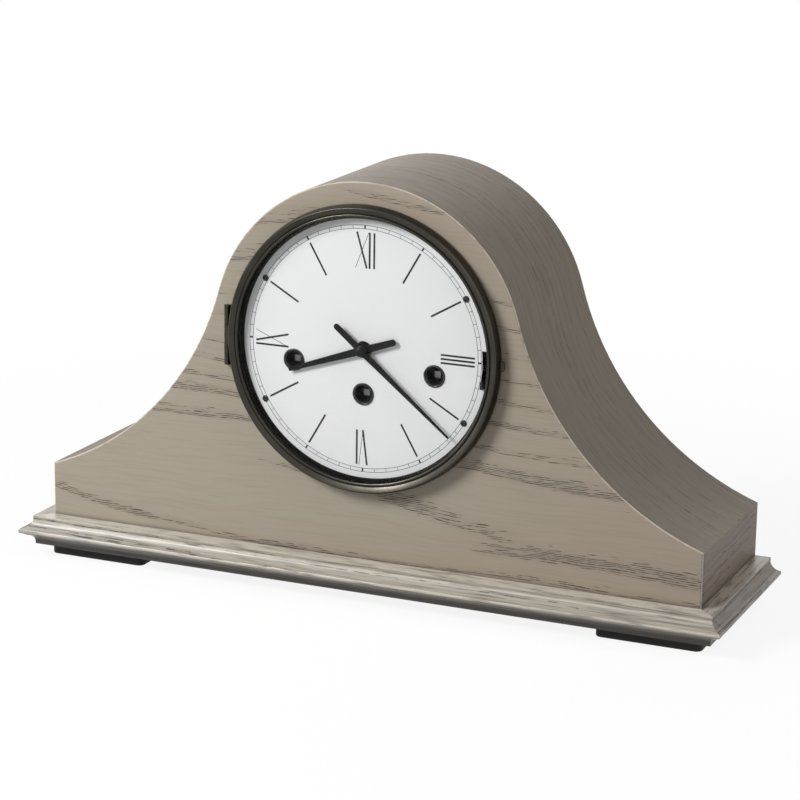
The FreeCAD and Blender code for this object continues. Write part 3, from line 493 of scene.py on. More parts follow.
    def build(self, bench: Bench) -> Wire:
        """The oak's shader.

        Args:
            bench: the tree to build in.

        Returns:
            The shader's wire.
        """
        place = along, across, depth = self.axes(bench)
        sway = bench.cells(place, self.sway_cells) - 0.5
        ripple = bench.cells(place, self.ripple_cells) - 0.5
        moved = across + sway * (self.sway * MM) + ripple * (self.ripple * MM)
        band = self.strand_band(bench, along, moved) if self.strands else self.ring_band(bench, along, moved)
        pores = self.pores(bench, along, moved, depth, band)
        cloud = bench.cells(place, self.cloud_cells)
        fibre = bench.cells((along, moved, depth), self.fibre_cells, 2.0)
        warm = bench.step(along * self.warm_slope + cloud, *self.warm_levels)
        colour = bench.mix(warm, self.pale, self.warm)
        dull = bench.step(fibre, *self.fibre_levels) * self.streakiness + band * self.band_dull
        colour = bench.mix(dull, colour, self.streak)
        # Painted shade: the colour darkens towards the pore colour below a height, for the shade in the
        # corner above the moulding or under its nose.
        if self.painted_shade_below > 0.0:
            under, over = self.painted_shade_soft
            low, high = (self.painted_shade_below - under) * MM, (self.painted_shade_below + over) * MM
            shade = bench.step(bench.place()[2], low, high, 1.0, 0.0)
            colour = bench.mix(shade * self.painted_shade_amount, colour, self.pore)
        colour = bench.mix(pores * self.pore_dark, colour, self.pore)
        # Edge lines: pale ones are partly rubbed finish and partly painted highlight on the arrises; dark
        # ones mark joints.
        edge_line = self.edge_lines(bench)
        if edge_line is not None:
            patch = bench.step(bench.cells(place, self.patch_cells, 2.0), *self.patch_levels)
            colour = bench.mix(edge_line * patch * self.edge_line_amount, colour, self.edge_line)
        rough = self.roughness + pores * self.pore_rough + (fibre - 0.5) * self.fibre_rough
        relief = 1.0 - pores * self.pore_relief - fibre * self.fibre_relief
        return bench.principled({
            "Base Color": colour, "Roughness": rough, "Specular IOR Level": self.gloss,
            "Coat Weight": self.coat, "Coat Roughness": self.coat_roughness,
            "Normal": bench.bump(relief, self.relief_depth, self.relief_strength),
        })

    def edge_lines(self, bench: Bench) -> Optional[Wire]:
        """The mask of the edge lines at the given depths and heights: pale lines are partly rubbed finish and
        partly painted highlight, dark ones mark joints.

        Args:
            bench: the tree to build in.

        Returns:
            The mask, or None where there are no edge lines.
        """
        _, y, z = bench.place()
        found = None
        for value, levels in ((y, self.edge_line_y), (z, self.edge_line_z)):
            for level in levels:
                half = self.edge_line_width * MM / 2
                mask = bench.between(value, level * MM - half, level * MM + half, half)
                found = mask if found is None else found + mask
        return found


class Beyond(Enum):
    """Where a board's second veneer takes over."""

    INSIDE_THE_ENDS = "nearer the middle than the outer faces of the ends"
    BEHIND_THE_FACE = "behind the front edge's chamfer"


@dataclass(frozen=True)
class Veneered(Finish):
    """A board with one veneer on its main face and another past a plane."""

    main: Finish
    other: Finish
    beyond: Beyond
    end_x: float = 202.75
    chamfer_y: float = FRONT_Y + 0.86
    joint: float = 0.1

    def build(self, bench: Bench) -> Wire:
        """The shader of the two veneers.

        Args:
            bench: the tree to build in.

        Returns:
            The shader's wire.
        """
        x, y, _ = bench.place()
        if self.beyond is Beyond.INSIDE_THE_ENDS:
            value, plane, levels = x.single("ABSOLUTE"), self.end_x, (1.0, 0.0)
        else:
            value, plane, levels = y, self.chamfer_y, (0.0, 1.0)
        past = bench.step(value, (plane - self.joint) * MM, (plane + self.joint) * MM, *levels)
        veneers = {0: past, 1: self.main.build(bench), 2: self.other.build(bench)}
        return bench.add("ShaderNodeMixShader", {}, veneers)


class Brushing(Enum):
    """How the fine lines of a metal surface run: cells to the metre along x, y and z."""

    SIDEWAYS = (60.0, 4000.0, 4000.0)
    UPRIGHT = (4000.0, 4000.0, 60.0)
    CAST = (1800.0, 1800.0, 1800.0)


@dataclass(frozen=True)
class Metal(Finish):
    """Bare or lacquered metal with fine lines and slight stains."""

    colour: Colour = (0.5, 0.5, 0.5)
    stain: Colour = (0.4, 0.4, 0.4)
    roughness: float = 0.3
    brushing: Brushing = Brushing.CAST
    relief: float = 0.01
    metallic: float = 1.0
    cloud_cells: float = 45.0
    cloud_levels: Point = (0.35, 0.7)
    cloud_rough: float = 0.12
    line_rough: float = 0.25

    def build(self, bench: Bench) -> Wire:
        """The metal's shader.

        Args:
            bench: the tree to build in.

        Returns:
            The shader's wire.
        """
        place = bench.place()
        lines = bench.cells(place, self.brushing.value, 2.0)
        cloud = bench.cells(place, self.cloud_cells, 3.0)
        colour = bench.mix(bench.step(cloud, *self.cloud_levels), self.colour, self.stain)
        rough = self.roughness + (lines - 0.5) * self.line_rough + (cloud - 0.5) * self.cloud_rough
        return bench.principled({
            "Base Color": colour, "Metallic": self.metallic, "Roughness": rough,
            "Normal": bench.bump(lines, self.relief),
        })


@dataclass(frozen=True)
class Paint(Finish):
    """A painted, printed or moulded surface with a fine texture."""

    colour: Colour = (0.5, 0.5, 0.5)
    shade: Colour = (0.45, 0.45, 0.45)
    roughness: float = 0.4
    texture: float = 900.0
    relief: float = 0.01
    sheen: float = 0.5
    cloud_cells: float = 22.0
    cloud_share: float = 0.7
    levels: Point = (0.35, 0.68)
    fine_rough: float = 0.16

    def build(self, bench: Bench) -> Wire:
        """The paint's shader.

        Args:
            bench: the tree to build in.

        Returns:
            The shader's wire.
        """
        place = bench.place()
        fine = bench.cells(place, self.texture, 2.0)
        cloud = bench.cells(place, self.cloud_cells, 2.0)
        tone = bench.step(cloud * self.cloud_share + fine * (1.0 - self.cloud_share), *self.levels)
        colour = bench.mix(tone, self.colour, self.shade)
        rough = self.roughness + (fine - 0.5) * self.fine_rough
        return bench.principled({
            "Base Color": colour, "Roughness": rough, "Specular IOR Level": self.sheen,
            "Normal": bench.bump(fine, self.relief),
        })


@dataclass(frozen=True)
class FibreBoard(Finish):
    """Plain pressed board with fine fibres and flecks."""

    pale: Colour = (0.24, 0.175, 0.115)
    deep: Colour = (0.13, 0.09, 0.06)
    fibre_cells: Place = (260.0, 900.0, 900.0)
    fleck_cells: float = 1400.0
    cloud_cells: float = 14.0
    shares: Place = (0.5, 0.3, 0.2)
    levels: Point = (0.36, 0.64)
    roughness: float = 0.68
    fibre_rough: float = 0.2
    gloss: float = 0.3
    relief: float = 0.06

    def build(self, bench: Bench) -> Wire:
        """The board's shader.

        Args:
            bench: the tree to build in.

        Returns:
            The shader's wire.
        """
        place = bench.place()
        fibre = bench.cells(place, self.fibre_cells, 3.0, 0.65)
        fleck = bench.cells(place, self.fleck_cells)
        cloud = bench.cells(place, self.cloud_cells, 2.0)
        by_fibre, by_fleck, by_cloud = self.shares
        tone = bench.step(fibre * by_fibre + fleck * by_fleck + cloud * by_cloud, *self.levels)
        colour = bench.mix(tone, self.pale, self.deep)
        rough = self.roughness + (fibre - 0.5) * self.fibre_rough
        return bench.principled({
            "Base Color": colour, "Roughness": rough, "Specular IOR Level": self.gloss,
            "Normal": bench.bump(fibre, self.relief),
        })


@dataclass(frozen=True)
class ClearGlass(Finish):
    """Clear glass that is see-through in the middle and gleams at a slant."""

    tint: Colour = (0.93, 0.96, 0.95)
    edge_cover: float = 0.8
    edge_power: float = 5.0
    face_cover: float = 0.004
    roughness: float = 0.02
    smear_rough: float = 0.03
    smear_cells: float = 18.0

    def build(self, bench: Bench) -> Wire:
        """The glass's shader.

        Args:
            bench: the tree to build in.

        Returns:
            The shader's wire.
        """
        smear = bench.cells(bench.place(), self.smear_cells, 3.0)
        slant = bench.add("ShaderNodeLayerWeight", {}, {"Blend": 0.5}, "Facing")
        edge = slant.joined("POWER", self.edge_power) * self.edge_cover
        cover = edge + smear * self.face_cover + self.face_cover / 2
        rough = self.roughness + smear * self.smear_rough
        return bench.principled({
            "Base Color": (*self.tint, 1.0), "Metallic": 1.0, "Roughness": rough, "Alpha": cover,
        })


FACE_STRANDS = tuple(Strand(*sizes) for sizes in (
    (-75.0, -60.0, 160.0, 161.0, 3.8, 0.8), (-85.0, -66.0, 147.0, 148.0, 3.8, 0.7),
    (-95.0, -78.0, 133.0, 134.0, 4.4, 0.8), (-105.0, -80.0, 117.0, 116.0, 3.8, 0.6),
    (-110.0, -76.0, 106.5, 105.0, 3.8, 0.9), (-120.0, -76.0, 96.0, 95.0, 4.4, 0.8),
    (-128.0, -74.0, 87.5, 85.5, 5.6, 1.1), (-145.0, -62.0, 73.0, 71.5, 5.6, 1.1),
    (-80.0, -30.0, 188.0, 196.0, 12.0, 0.8), (-10.0, 45.0, 214.0, 206.0, 4.4, 0.9),
    (70.0, 92.0, 159.0, 158.0, 3.8, 0.7), (80.0, 104.0, 144.0, 142.0, 3.8, 0.8),
    (84.0, 108.0, 129.0, 127.0, 3.8, 0.6), (82.0, 114.0, 115.0, 113.0, 3.8, 0.8),
    (78.0, 122.0, 101.0, 98.0, 4.4, 0.8), (74.0, 132.0, 88.0, 85.0, 4.4, 0.9),
    (66.0, 142.0, 73.5, 70.0, 4.4, 0.8), (40.0, 165.0, 62.5, 53.0, 7.5, 1.15),
    (-55.0, 30.0, 47.5, 34.0, 6.2, 0.9), (20.0, 84.0, 33.0, 24.0, 8.8, 0.95),
    (-97.0, -58.0, 166.0, 172.0, 12.0, 0.75), (78.0, 203.0, 15.0, 12.5, 8.1, 1.15),
    (-203.0, -150.0, 18.0, 10.0, 5.0, 1.0), (-150.0, -50.0, 10.0, 1.0, 3.8, 0.8),
    (-60.0, 203.0, 2.0, 2.0, 3.8, 0.8),
))
# The face's pale line at the chamfer is partly rubbed finish and partly painted highlight; its painted shade
# darkens the face just above the moulding.
FACE_OAK = Oak(
    "face_oak", strands=FACE_STRANDS, painted_shade_below=BASE_TOP_Z + 1.7, edge_line_y=(FRONT_Y + 0.6,), edge_line_width=0.4,
    edge_line_amount=0.6,
)
TOP_OAK = Oak(
    "top_oak", pale=(0.18, 0.148, 0.113), warm=(0.17, 0.139, 0.105), streak=(0.098, 0.08, 0.06),
    pore=(0.04, 0.034, 0.029), grain=Grain.OVER_TOP, ring_gap=6.5, heart=-60.0, heart_depth=40.0,
    heart_slope=0.02, pore_cover=0.24, pore_rest=0.66, pore_pitch=0.8, pore_length=8.0, pore_dark=0.85,
    streakiness=0.5, roughness=0.55, coat=0.0,
)
# The end boards get painted shade just above the moulding; their dark edge line marks the joint with the
# front panel.
END_OAK = Oak(
    "end_oak", pale=(0.18, 0.14, 0.11), warm=(0.172, 0.132, 0.104), streak=(0.095, 0.072, 0.057),
    pore=(0.024, 0.02, 0.018), edge_line=(0.03, 0.025, 0.021), grain=Grain.FRONT_TO_BACK, ring_gap=6.0,
    heart=-20.0, heart_depth=10.0, heart_slope=0.05, pore_cover=0.3, pore_rest=0.6, pore_length=7.0,
    streakiness=0.5, painted_shade_below=BASE_TOP_Z + 2.0, coat=0.0, edge_line_y=(FRONT_Y + 3.3,), edge_line_amount=0.8,
)
END_BOARD = Veneered("end_board", END_OAK, TOP_OAK, Beyond.INSIDE_THE_ENDS)
FACE_BOARD = Veneered("face_board", FACE_OAK, END_BOARD, Beyond.BEHIND_THE_FACE)
# The moulding's pale lines at the ledge, fillet and nose are partly rubbed finish and partly painted
# highlight; its painted shade darkens it below the nose.
MOULDING_FRONT_OAK = Oak(
    "moulding_front_oak", pale=(0.44, 0.418, 0.37), warm=(0.39, 0.356, 0.306), streak=(0.13, 0.115, 0.096),
    pore=(0.04, 0.036, 0.032), ring_gap=4.5, heart=-30.0, heart_depth=20.0, heart_slope=0.03, pore_cover=0.3,
    pore_rest=0.66, pore_length=9.0, streakiness=0.75, sway=3.0, ripple=0.6, painted_shade_below=12.5, roughness=0.34,
    coat=0.2, edge_line_z=(BASE_TOP_Z - 0.25, 21.3, 16.0), edge_line_width=0.9, edge_line_amount=0.7,
)
# The side mouldings' pale lines are partly rubbed finish and partly painted highlight, and they keep the
# front moulding's painted shade below the nose.
MOULDING_SIDE_OAK = replace(
    MOULDING_FRONT_OAK, name="moulding_side_oak", pale=(0.215, 0.188, 0.155), warm=(0.2, 0.17, 0.138),
    streak=(0.09, 0.075, 0.062), pore=(0.032, 0.028, 0.025), grain=Grain.FRONT_TO_BACK, pore_rest=0.6,
    pore_length=8.0, pore_pitch=0.9, streakiness=0.6, roughness=0.4, coat=0.1,
    edge_line_z=(BASE_TOP_Z - 0.25, 16.0), edge_line_amount=0.45,
)
BASE_OAK = Oak(
    "base_oak", pale=(0.12, 0.1, 0.08), warm=(0.11, 0.09, 0.072), streak=(0.07, 0.058, 0.047),
    pore=(0.03, 0.026, 0.022), ring_gap=8.0, heart=0.0, heart_depth=20.0, roughness=0.6,
)
BOARD = FibreBoard("fibre_board")
DARK_BOARD = FibreBoard("back_board", pale=(0.12, 0.1, 0.082), deep=(0.07, 0.058, 0.047))
BRONZE = Metal("dark_bronze", (0.05, 0.047, 0.039), (0.04, 0.037, 0.031), 0.31, Brushing.CAST, 0.001)
ARBOR_STEEL = Metal("blued_steel", (0.19, 0.19, 0.195), (0.14, 0.14, 0.145), 0.4, Brushing.CAST, 0.002)
BLACK_PAINT = Paint("black_enamel", (0.01, 0.01, 0.01), (0.014, 0.014, 0.013), 0.3, 500.0, 0.0008, 0.35)
HAND_BLACK = Paint("hand_black", (0.006, 0.0063, 0.006), (0.009, 0.009, 0.0088), 0.36, 700.0, 0.0008, 0.13)
MATT_BLACK = Paint("matt_black", (0.008, 0.008, 0.008), (0.011, 0.011, 0.011), 0.8, 300.0, 0.0005, 0.12)
INK = Paint("dial_ink", (0.025, 0.025, 0.026), (0.035, 0.035, 0.035), 0.6, 2500.0, 0.003, 0.2)
DIAL_WHITE = Paint("dial_white", (0.8, 0.802, 0.808), (0.785, 0.787, 0.793), 0.42, 2200.0, 0.002, 0.35)
PAD_BLACK = Paint("pad_black", (0.016, 0.0155, 0.0145), (0.03, 0.028, 0.026), 0.72, 1100.0, 0.08, 0.3)
CATCH_BROWN = Paint("catch_brown", (0.09, 0.055, 0.03), (0.07, 0.042, 0.024), 0.5, 900.0, 0.01)
GLASS = ClearGlass("clear_glass")
PLATE_BRASS = Metal("plate_brass", (0.62, 0.45, 0.19), (0.5, 0.35, 0.14), 0.3, Brushing.UPRIGHT, 0.01)
WHEEL_BRASS = Metal("wheel_brass", (0.66, 0.49, 0.22), (0.56, 0.4, 0.16), 0.26, Brushing.CAST, 0.006)
DOOR_BRASS = Metal("door_brass", (0.42, 0.31, 0.14), (0.3, 0.21, 0.09), 0.36, Brushing.UPRIGHT, 0.01)
BRIGHT_STEEL = Metal("bright_steel", (0.36, 0.36, 0.365), (0.27, 0.27, 0.28), 0.4, Brushing.CAST, 0.006)
ROD_STEEL = Metal("rod_steel", (0.36, 0.35, 0.34), (0.25, 0.24, 0.23), 0.3, Brushing.SIDEWAYS, 0.006)
BLACK_IRON = Metal("black_iron", (0.05, 0.05, 0.052), (0.035, 0.035, 0.036), 0.55, Brushing.CAST, 0.05, 0.4)

FINISHED: Tuple[Tuple[Finish, str], ...] = (
    (FACE_BOARD, "front_panel"),
    (TOP_OAK, "arch_shell"),
    (END_BOARD, "end_panel_right end_panel_left"),
    (MOULDING_FRONT_OAK, "moulding_front"),
    (MOULDING_SIDE_OAK, "moulding_right moulding_left"),
    (BASE_OAK, "base_panel"),
    (PAD_BLACK, "foot_pads"),
    (BOARD, "front_frame"),
    (DARK_BOARD, "rear_frame rear_door"),
    (DOOR_BRASS, "door_knob door_hinge_fixed door_hinge_moving"),
    (CATCH_BROWN, "magnet_catch"),
    (BRIGHT_STEEL, "strike_plate cannon_pinion plate_pillars movement_fixings chime_bracket hammer_arbor"),
    (BRIGHT_STEEL, "block_bolts"),
    (DIAL_WHITE, "dial_plate"),
    (BLACK_PAINT, "dial_screws winding_grommets silence_lever"),
    (BRONZE, "bezel_seat_ring bezel_hinge_pin bezel_ring bezel_hinge_knuckle bezel_pull"),
    (GLASS, "bezel_glass"),
    (MATT_BLACK, "glass_retainer"),
    (HAND_BLACK, "minute_hand hour_hand hand_nut"),
    (WHEEL_BRASS, "hour_wheel minute_wheel time_barrel strike_barrel chime_barrel centre_wheel third_wheel"),
    (WHEEL_BRASS, "escape_wheel balance_wheel strike_wheel chime_drum hammer_1 hammer_2 hammer_3 hammer_4"),
    (PLATE_BRASS, "movement_front_plate movement_back_plate balance_bridge"),
    (ARBOR_STEEL, "winding_arbor_strike winding_arbor_time winding_arbor_chime"),
    (BLACK_IRON, "chime_block"),
    (ROD_STEEL, "chime_rods"),
)
NODE_FINISHES = {node: finish for finish, nodes in FINISHED for node in nodes.split()}


class Shaper:
    """Ways to model a piece, in millimetres in the clock's own frame."""

    @staticmethod
    def choose(*pieces: Piece) -> None:
        """Selects these pieces alone and makes the first active.

        Args:
            pieces: what is selected; without any, nothing is.
        """
        bpy.ops.object.select_all(action="DESELECT")
        for piece in pieces:
            piece.select_set(True)
        if pieces:
            bpy.context.view_layer.objects.active = pieces[0]

    @staticmethod
    def metres(place: Sequence[float]) -> Vector:
        """A place in millimetres as a vector in metres."""
        return Vector(place) * MM

    @staticmethod
    def settle(name: str, angle: float = 30.0) -> Piece:
        """Names the active piece, puts its place in its mesh and smooths it.

        Args:
            name: the piece's name.
            angle: edges sharper than this stay sharp, in degrees.

        Returns:
            The piece.
        """
        piece = bpy.context.object
        piece.name = name
        piece.data.name = name
        bpy.ops.object.transform_apply(location=True, rotation=True, scale=True)
        bpy.ops.object.shade_smooth_by_angle(angle=math.radians(angle))
        return piece

    @staticmethod
    def pick(test: Callable[[Vector], bool], faces: bool = False) -> None:
        """Selects the edges, or faces, of the piece in edit mode whose middle passes a test.

        Args:
            test: takes a middle in millimetres.
            faces: True for faces, False for edges.
        """
        piece = bpy.context.object
        mesh = bmesh.from_edit_mesh(piece.data)
        bpy.ops.mesh.select_mode(type="FACE" if faces else "EDGE")
        bpy.ops.mesh.select_all(action="DESELECT")
        for item in (mesh.faces if faces else mesh.edges):
            middle = sum((v.co for v in item.verts), Vector()) / len(item.verts)
            if test(piece.matrix_world @ middle / MM):
                item.select_set(True)
        bmesh.update_edit_mesh(piece.data)

    @staticmethod
    def round_edges(test: Callable[[Vector], bool], radius: float, segments: int) -> None:
        """Rounds the edges of the active piece whose middle passes a test.

        Args:
            test: takes a middle in millimetres.
            radius: the rounding's reach.
            segments: its number of strips.
        """
        bpy.ops.object.mode_set(mode="EDIT")
        Shaper.pick(test)
        bpy.ops.mesh.bevel(offset=radius * MM, segments=segments, affect="EDGES")
        bpy.ops.object.mode_set(mode="OBJECT")

    @staticmethod
    def turned(name: str, profile: Sequence[Point], centre: Place, steps: int = 96, closed: bool = True,
               angle: float = 35.0) -> Piece:
        """A ring or knob turned about an axis along y.

        Args:
            name: the piece's name.
            profile: radius and y of each point; a radius of 0 closes a pole.
            centre: x and z of the axis, with y unused.
            steps: faces round the axis.
            closed: True where the last point joins the first.
            angle: edges sharper than this stay sharp, in degrees.

        Returns:
            The piece.
        """
        Shaper.choose()
        radius, y = profile[0]
        middle = Shaper.metres((centre[0], y, centre[2]))
        bpy.ops.mesh.primitive_circle_add(vertices=steps, radius=radius * MM, location=middle,
                                          rotation=(math.pi / 2, 0.0, 0.0))
        bpy.ops.object.mode_set(mode="EDIT")
        bpy.ops.mesh.select_mode(type="EDGE")
        bpy.ops.mesh.select_all(action="SELECT")
        points = list(profile[1:]) + ([profile[0]] if closed else [])
        for next_radius, next_y in points:
            bpy.ops.mesh.extrude_edges_indiv()
            bpy.ops.transform.translate(value=(0.0, (next_y - y) * MM, 0.0))
            if next_radius < POLE_RADIUS:
                bpy.ops.mesh.merge(type="CENTER")
                break
            scale = next_radius / radius
            middle = Shaper.metres((centre[0], next_y, centre[2]))
            bpy.ops.transform.resize(value=(scale, 1.0, scale), center_override=middle)
            radius, y = next_radius, next_y
        bpy.ops.mesh.select_all(action="SELECT")
        bpy.ops.mesh.remove_doubles(threshold=WELD * MM)
        bpy.ops.mesh.normals_make_consistent(inside=False)
        bpy.ops.object.mode_set(mode="OBJECT")
        return Shaper.settle(name, angle)

    @staticmethod
    def bar(name: str, start: Point, end: Point, width: float, y0: float, y1: float) -> Piece:
        """A flat bar on the dial, between two places measured from the dial's centre.

        Args:
            name: the piece's name.
            start: x and height of one end.
            end: x and height of the other end.
            width: its width.
            y0: its front.
            y1: its back.

        Returns:
            The piece.
        """
        Shaper.choose()
        run = Vector(end) - Vector(start)
        middle = (Vector(end) + Vector(start)) / 2
        bpy.ops.mesh.primitive_plane_add(
            size=1.0, rotation=(math.pi / 2, -math.atan2(run.y, run.x), 0.0),
            location=Shaper.metres((middle.x, y1, DIAL_Z + middle.y)))
        piece = bpy.context.object
        piece.scale = (run.length * MM, width * MM, 1.0)
        bpy.ops.object.transform_apply(location=True, rotation=True, scale=True)
        bpy.ops.object.mode_set(mode="EDIT")
        bpy.ops.mesh.select_all(action="SELECT")
        bpy.ops.mesh.extrude_region_move(TRANSFORM_OT_translate={"value": (0.0, (y0 - y1) * MM, 0.0)})
        bpy.ops.mesh.select_all(action="SELECT")
        bpy.ops.mesh.normals_make_consistent(inside=False)
        bpy.ops.object.mode_set(mode="OBJECT")
        return Shaper.settle(name)

    @staticmethod
    def block(name: str, low: Place, high: Place) -> Piece:
        """A block between two corners, for later shaping.

        Args:
            name: the piece's name.
            low: its lowest corner.
            high: its highest corner.

        Returns:
            The piece.
        """
        Shaper.choose()
        a, b = Shaper.metres(low), Shaper.metres(high)
        bpy.ops.mesh.primitive_cube_add(size=1.0, location=(a + b) / 2)
        bpy.context.object.scale = b - a
        return Shaper.settle(name)

    @staticmethod
    def applied(piece: Piece, kind: str, angle: float, settings: dict) -> None:
        """Puts a modifier on a piece, applies it and smooths the piece again.

        Args:
            piece: the piece.
            kind: the modifier's type.
            angle: edges sharper than this stay sharp, in degrees.
            settings: the modifier's own properties.
        """
        Shaper.choose(piece)
        modifier = piece.modifiers.new("change", kind)
        for key, value in settings.items():
            setattr(modifier, key, value)
        bpy.ops.object.modifier_apply(modifier=modifier.name)
        bpy.ops.object.shade_smooth_by_angle(angle=math.radians(angle))

    @staticmethod
    def rounded(piece: Piece, width: float, segments: int, angle: float) -> None:
        """Rounds the edges of a piece that are sharper than an angle in degrees."""
        limit = {"limit_method": "ANGLE", "angle_limit": math.radians(angle)}
        Shaper.applied(piece, "BEVEL", 40.0, {"width": width * MM, "segments": segments, **limit})

    @staticmethod
    def moves(places: Sequence[Place]) -> List[Matrix]:
        """The moves by these distances in millimetres."""
        return [Matrix.Translation(Shaper.metres(place)) for place in places]

    @staticmethod
    def to_hours(hours: Sequence[float]) -> List[Matrix]:
        """The turns that take a piece from twelve to each of these hours."""
        return [Shaper.about_dial(hour * 30) for hour in hours]

    @staticmethod
    def repeated(piece: Piece, moves: Sequence[Matrix]) -> List[Piece]:
        """A piece and its copies, each with a mesh of its own, one for each move.

        Args:
            piece: the piece, which itself takes the first move.
            moves: the moves, which change the meshes.

        Returns:
            The piece and its copies.
        """
        pieces = [piece]
        for _ in moves[1:]:
            twin = piece.copy()
            twin.data = piece.data.copy()
            bpy.context.scene.collection.objects.link(twin)
            pieces.append(twin)
        for item, move in zip(pieces, moves):
            item.data.transform(move)
        return pieces

    @staticmethod
    def about_dial(degrees: float) -> Matrix:
        """A clockwise turn about the dial's axis, seen from the front."""
        centre = Matrix.Translation((0.0, 0.0, DIAL_Z * MM))
        return centre @ Matrix.Rotation(math.radians(degrees), 4, "Y") @ centre.inverted()

    @staticmethod
    def join(name: str, pieces: Sequence[Piece]) -> Piece:
        """Joins pieces into one.

        Args:
            name: the joined piece's name.
            pieces: what is joined, which end up in the first.

        Returns:
            The joined piece.
        """
        Shaper.choose(*pieces)
        bpy.ops.object.join()
        pieces[0].name = name
        pieces[0].data.name = name
        return pieces[0]


def softened(profile: Sequence[Point], radius: float, steps: int = 4) -> List[Point]:
    """A closed outline with its corners rounded.

    Args:
        profile: the outline's corners.
        radius: how far each rounding reaches along its two sides.
        steps: points in each rounding.

    Returns:
        The rounded outline.
    """
    found: List[Point] = []
    count = len(profile)
    for index in range(count):
        corner = Vector(profile[index])
        before = Vector(profile[index - 1]) - corner
        after = Vector(profile[(index + 1) % count]) - corner
        reach = min(radius, before.length * 0.45, after.length * 0.45)
        first = corner + before.normalized() * reach
        last = corner + after.normalized() * reach
        for step in range(steps + 1):
            t = step / steps
            spot = first * (1 - t) ** 2 + corner * 2 * t * (1 - t) + last * t ** 2
            found.append((spot.x, spot.y))
    return found


def front(h: float) -> float:
    """The y of a height in front of the case's face."""
    return FRONT_Y - h


@dataclass
class Assembly:
    """A group of the clock's pieces, with the ways they join the frame."""

    nodes: Dict[str, Piece]

    def finish_node(self, node: str, finish: Finish) -> None:
        """Gives a node of the frame its finish.

        Args:
            node: the node's name.
            finish: the finish.
        """
        for slot in self.nodes[node].material_slots:
            slot.material = finish.material()

    def place(self, piece: Piece, body: str, slot: str, finish: Finish,
              stands_for: Sequence[str] = ()) -> Piece:
        """Dresses a new piece and makes it ride on its body.

        Args:
            piece: the piece.
            body: the body that it moves with.
            slot: the record's material slot; not used.
            finish: its finish.
            stands_for: nodes of the frame that it replaces.

        Returns:
            The piece.
        """
        piece.data.materials.clear()
        piece.data.materials.append(finish.material())
        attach(piece, body)
        if stands_for:
            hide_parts(*stands_for)
        LOG.info("%s rides on %s with %d faces", piece.name, body, len(piece.data.polygons))
        return piece


@dataclass
class Case(Assembly):
    """The wooden case, whose boards keep their solids and whose pads are made with round corners."""

    pad_end_x: Point = (142.5, 204.5)
    pad_rows_y: Tuple[Point, Point] = ((-46.9, -16.9), (29.0, 59.0))
    pad_h: float = 7.0
    pad_corner: float = 4.0
    pad_edge: float = 0.7

    def pad(self) -> Piece:
        """One pad with round corners and a soft lower edge.

        Returns:
            The pad at the front right.
        """
        x0, x1 = self.pad_end_x
        y0, y1 = self.pad_rows_y[0]
        piece = Shaper.block("pad", (x0, y0, 0.0), (x1, y1, self.pad_h))
        Shaper.round_edges(lambda p: abs(p.z - self.pad_h / 2) < TOUCH, self.pad_corner, 8)
        Shaper.rounded(piece, self.pad_edge, 3, 40.0)
        return piece

    def build(self) -> None:
        """Makes the four pads."""
        back = self.pad_rows_y[1][0] - self.pad_rows_y[0][0]
        moves = Shaper.moves([(x, y, 0.0) for y in (0.0, back) for x in (0.0, -sum(self.pad_end_x))])
        pads = Shaper.join("pads", Shaper.repeated(self.pad(), moves))
        self.place(pads, "case", "foot_black", PAD_BLACK, ["foot_pads"])


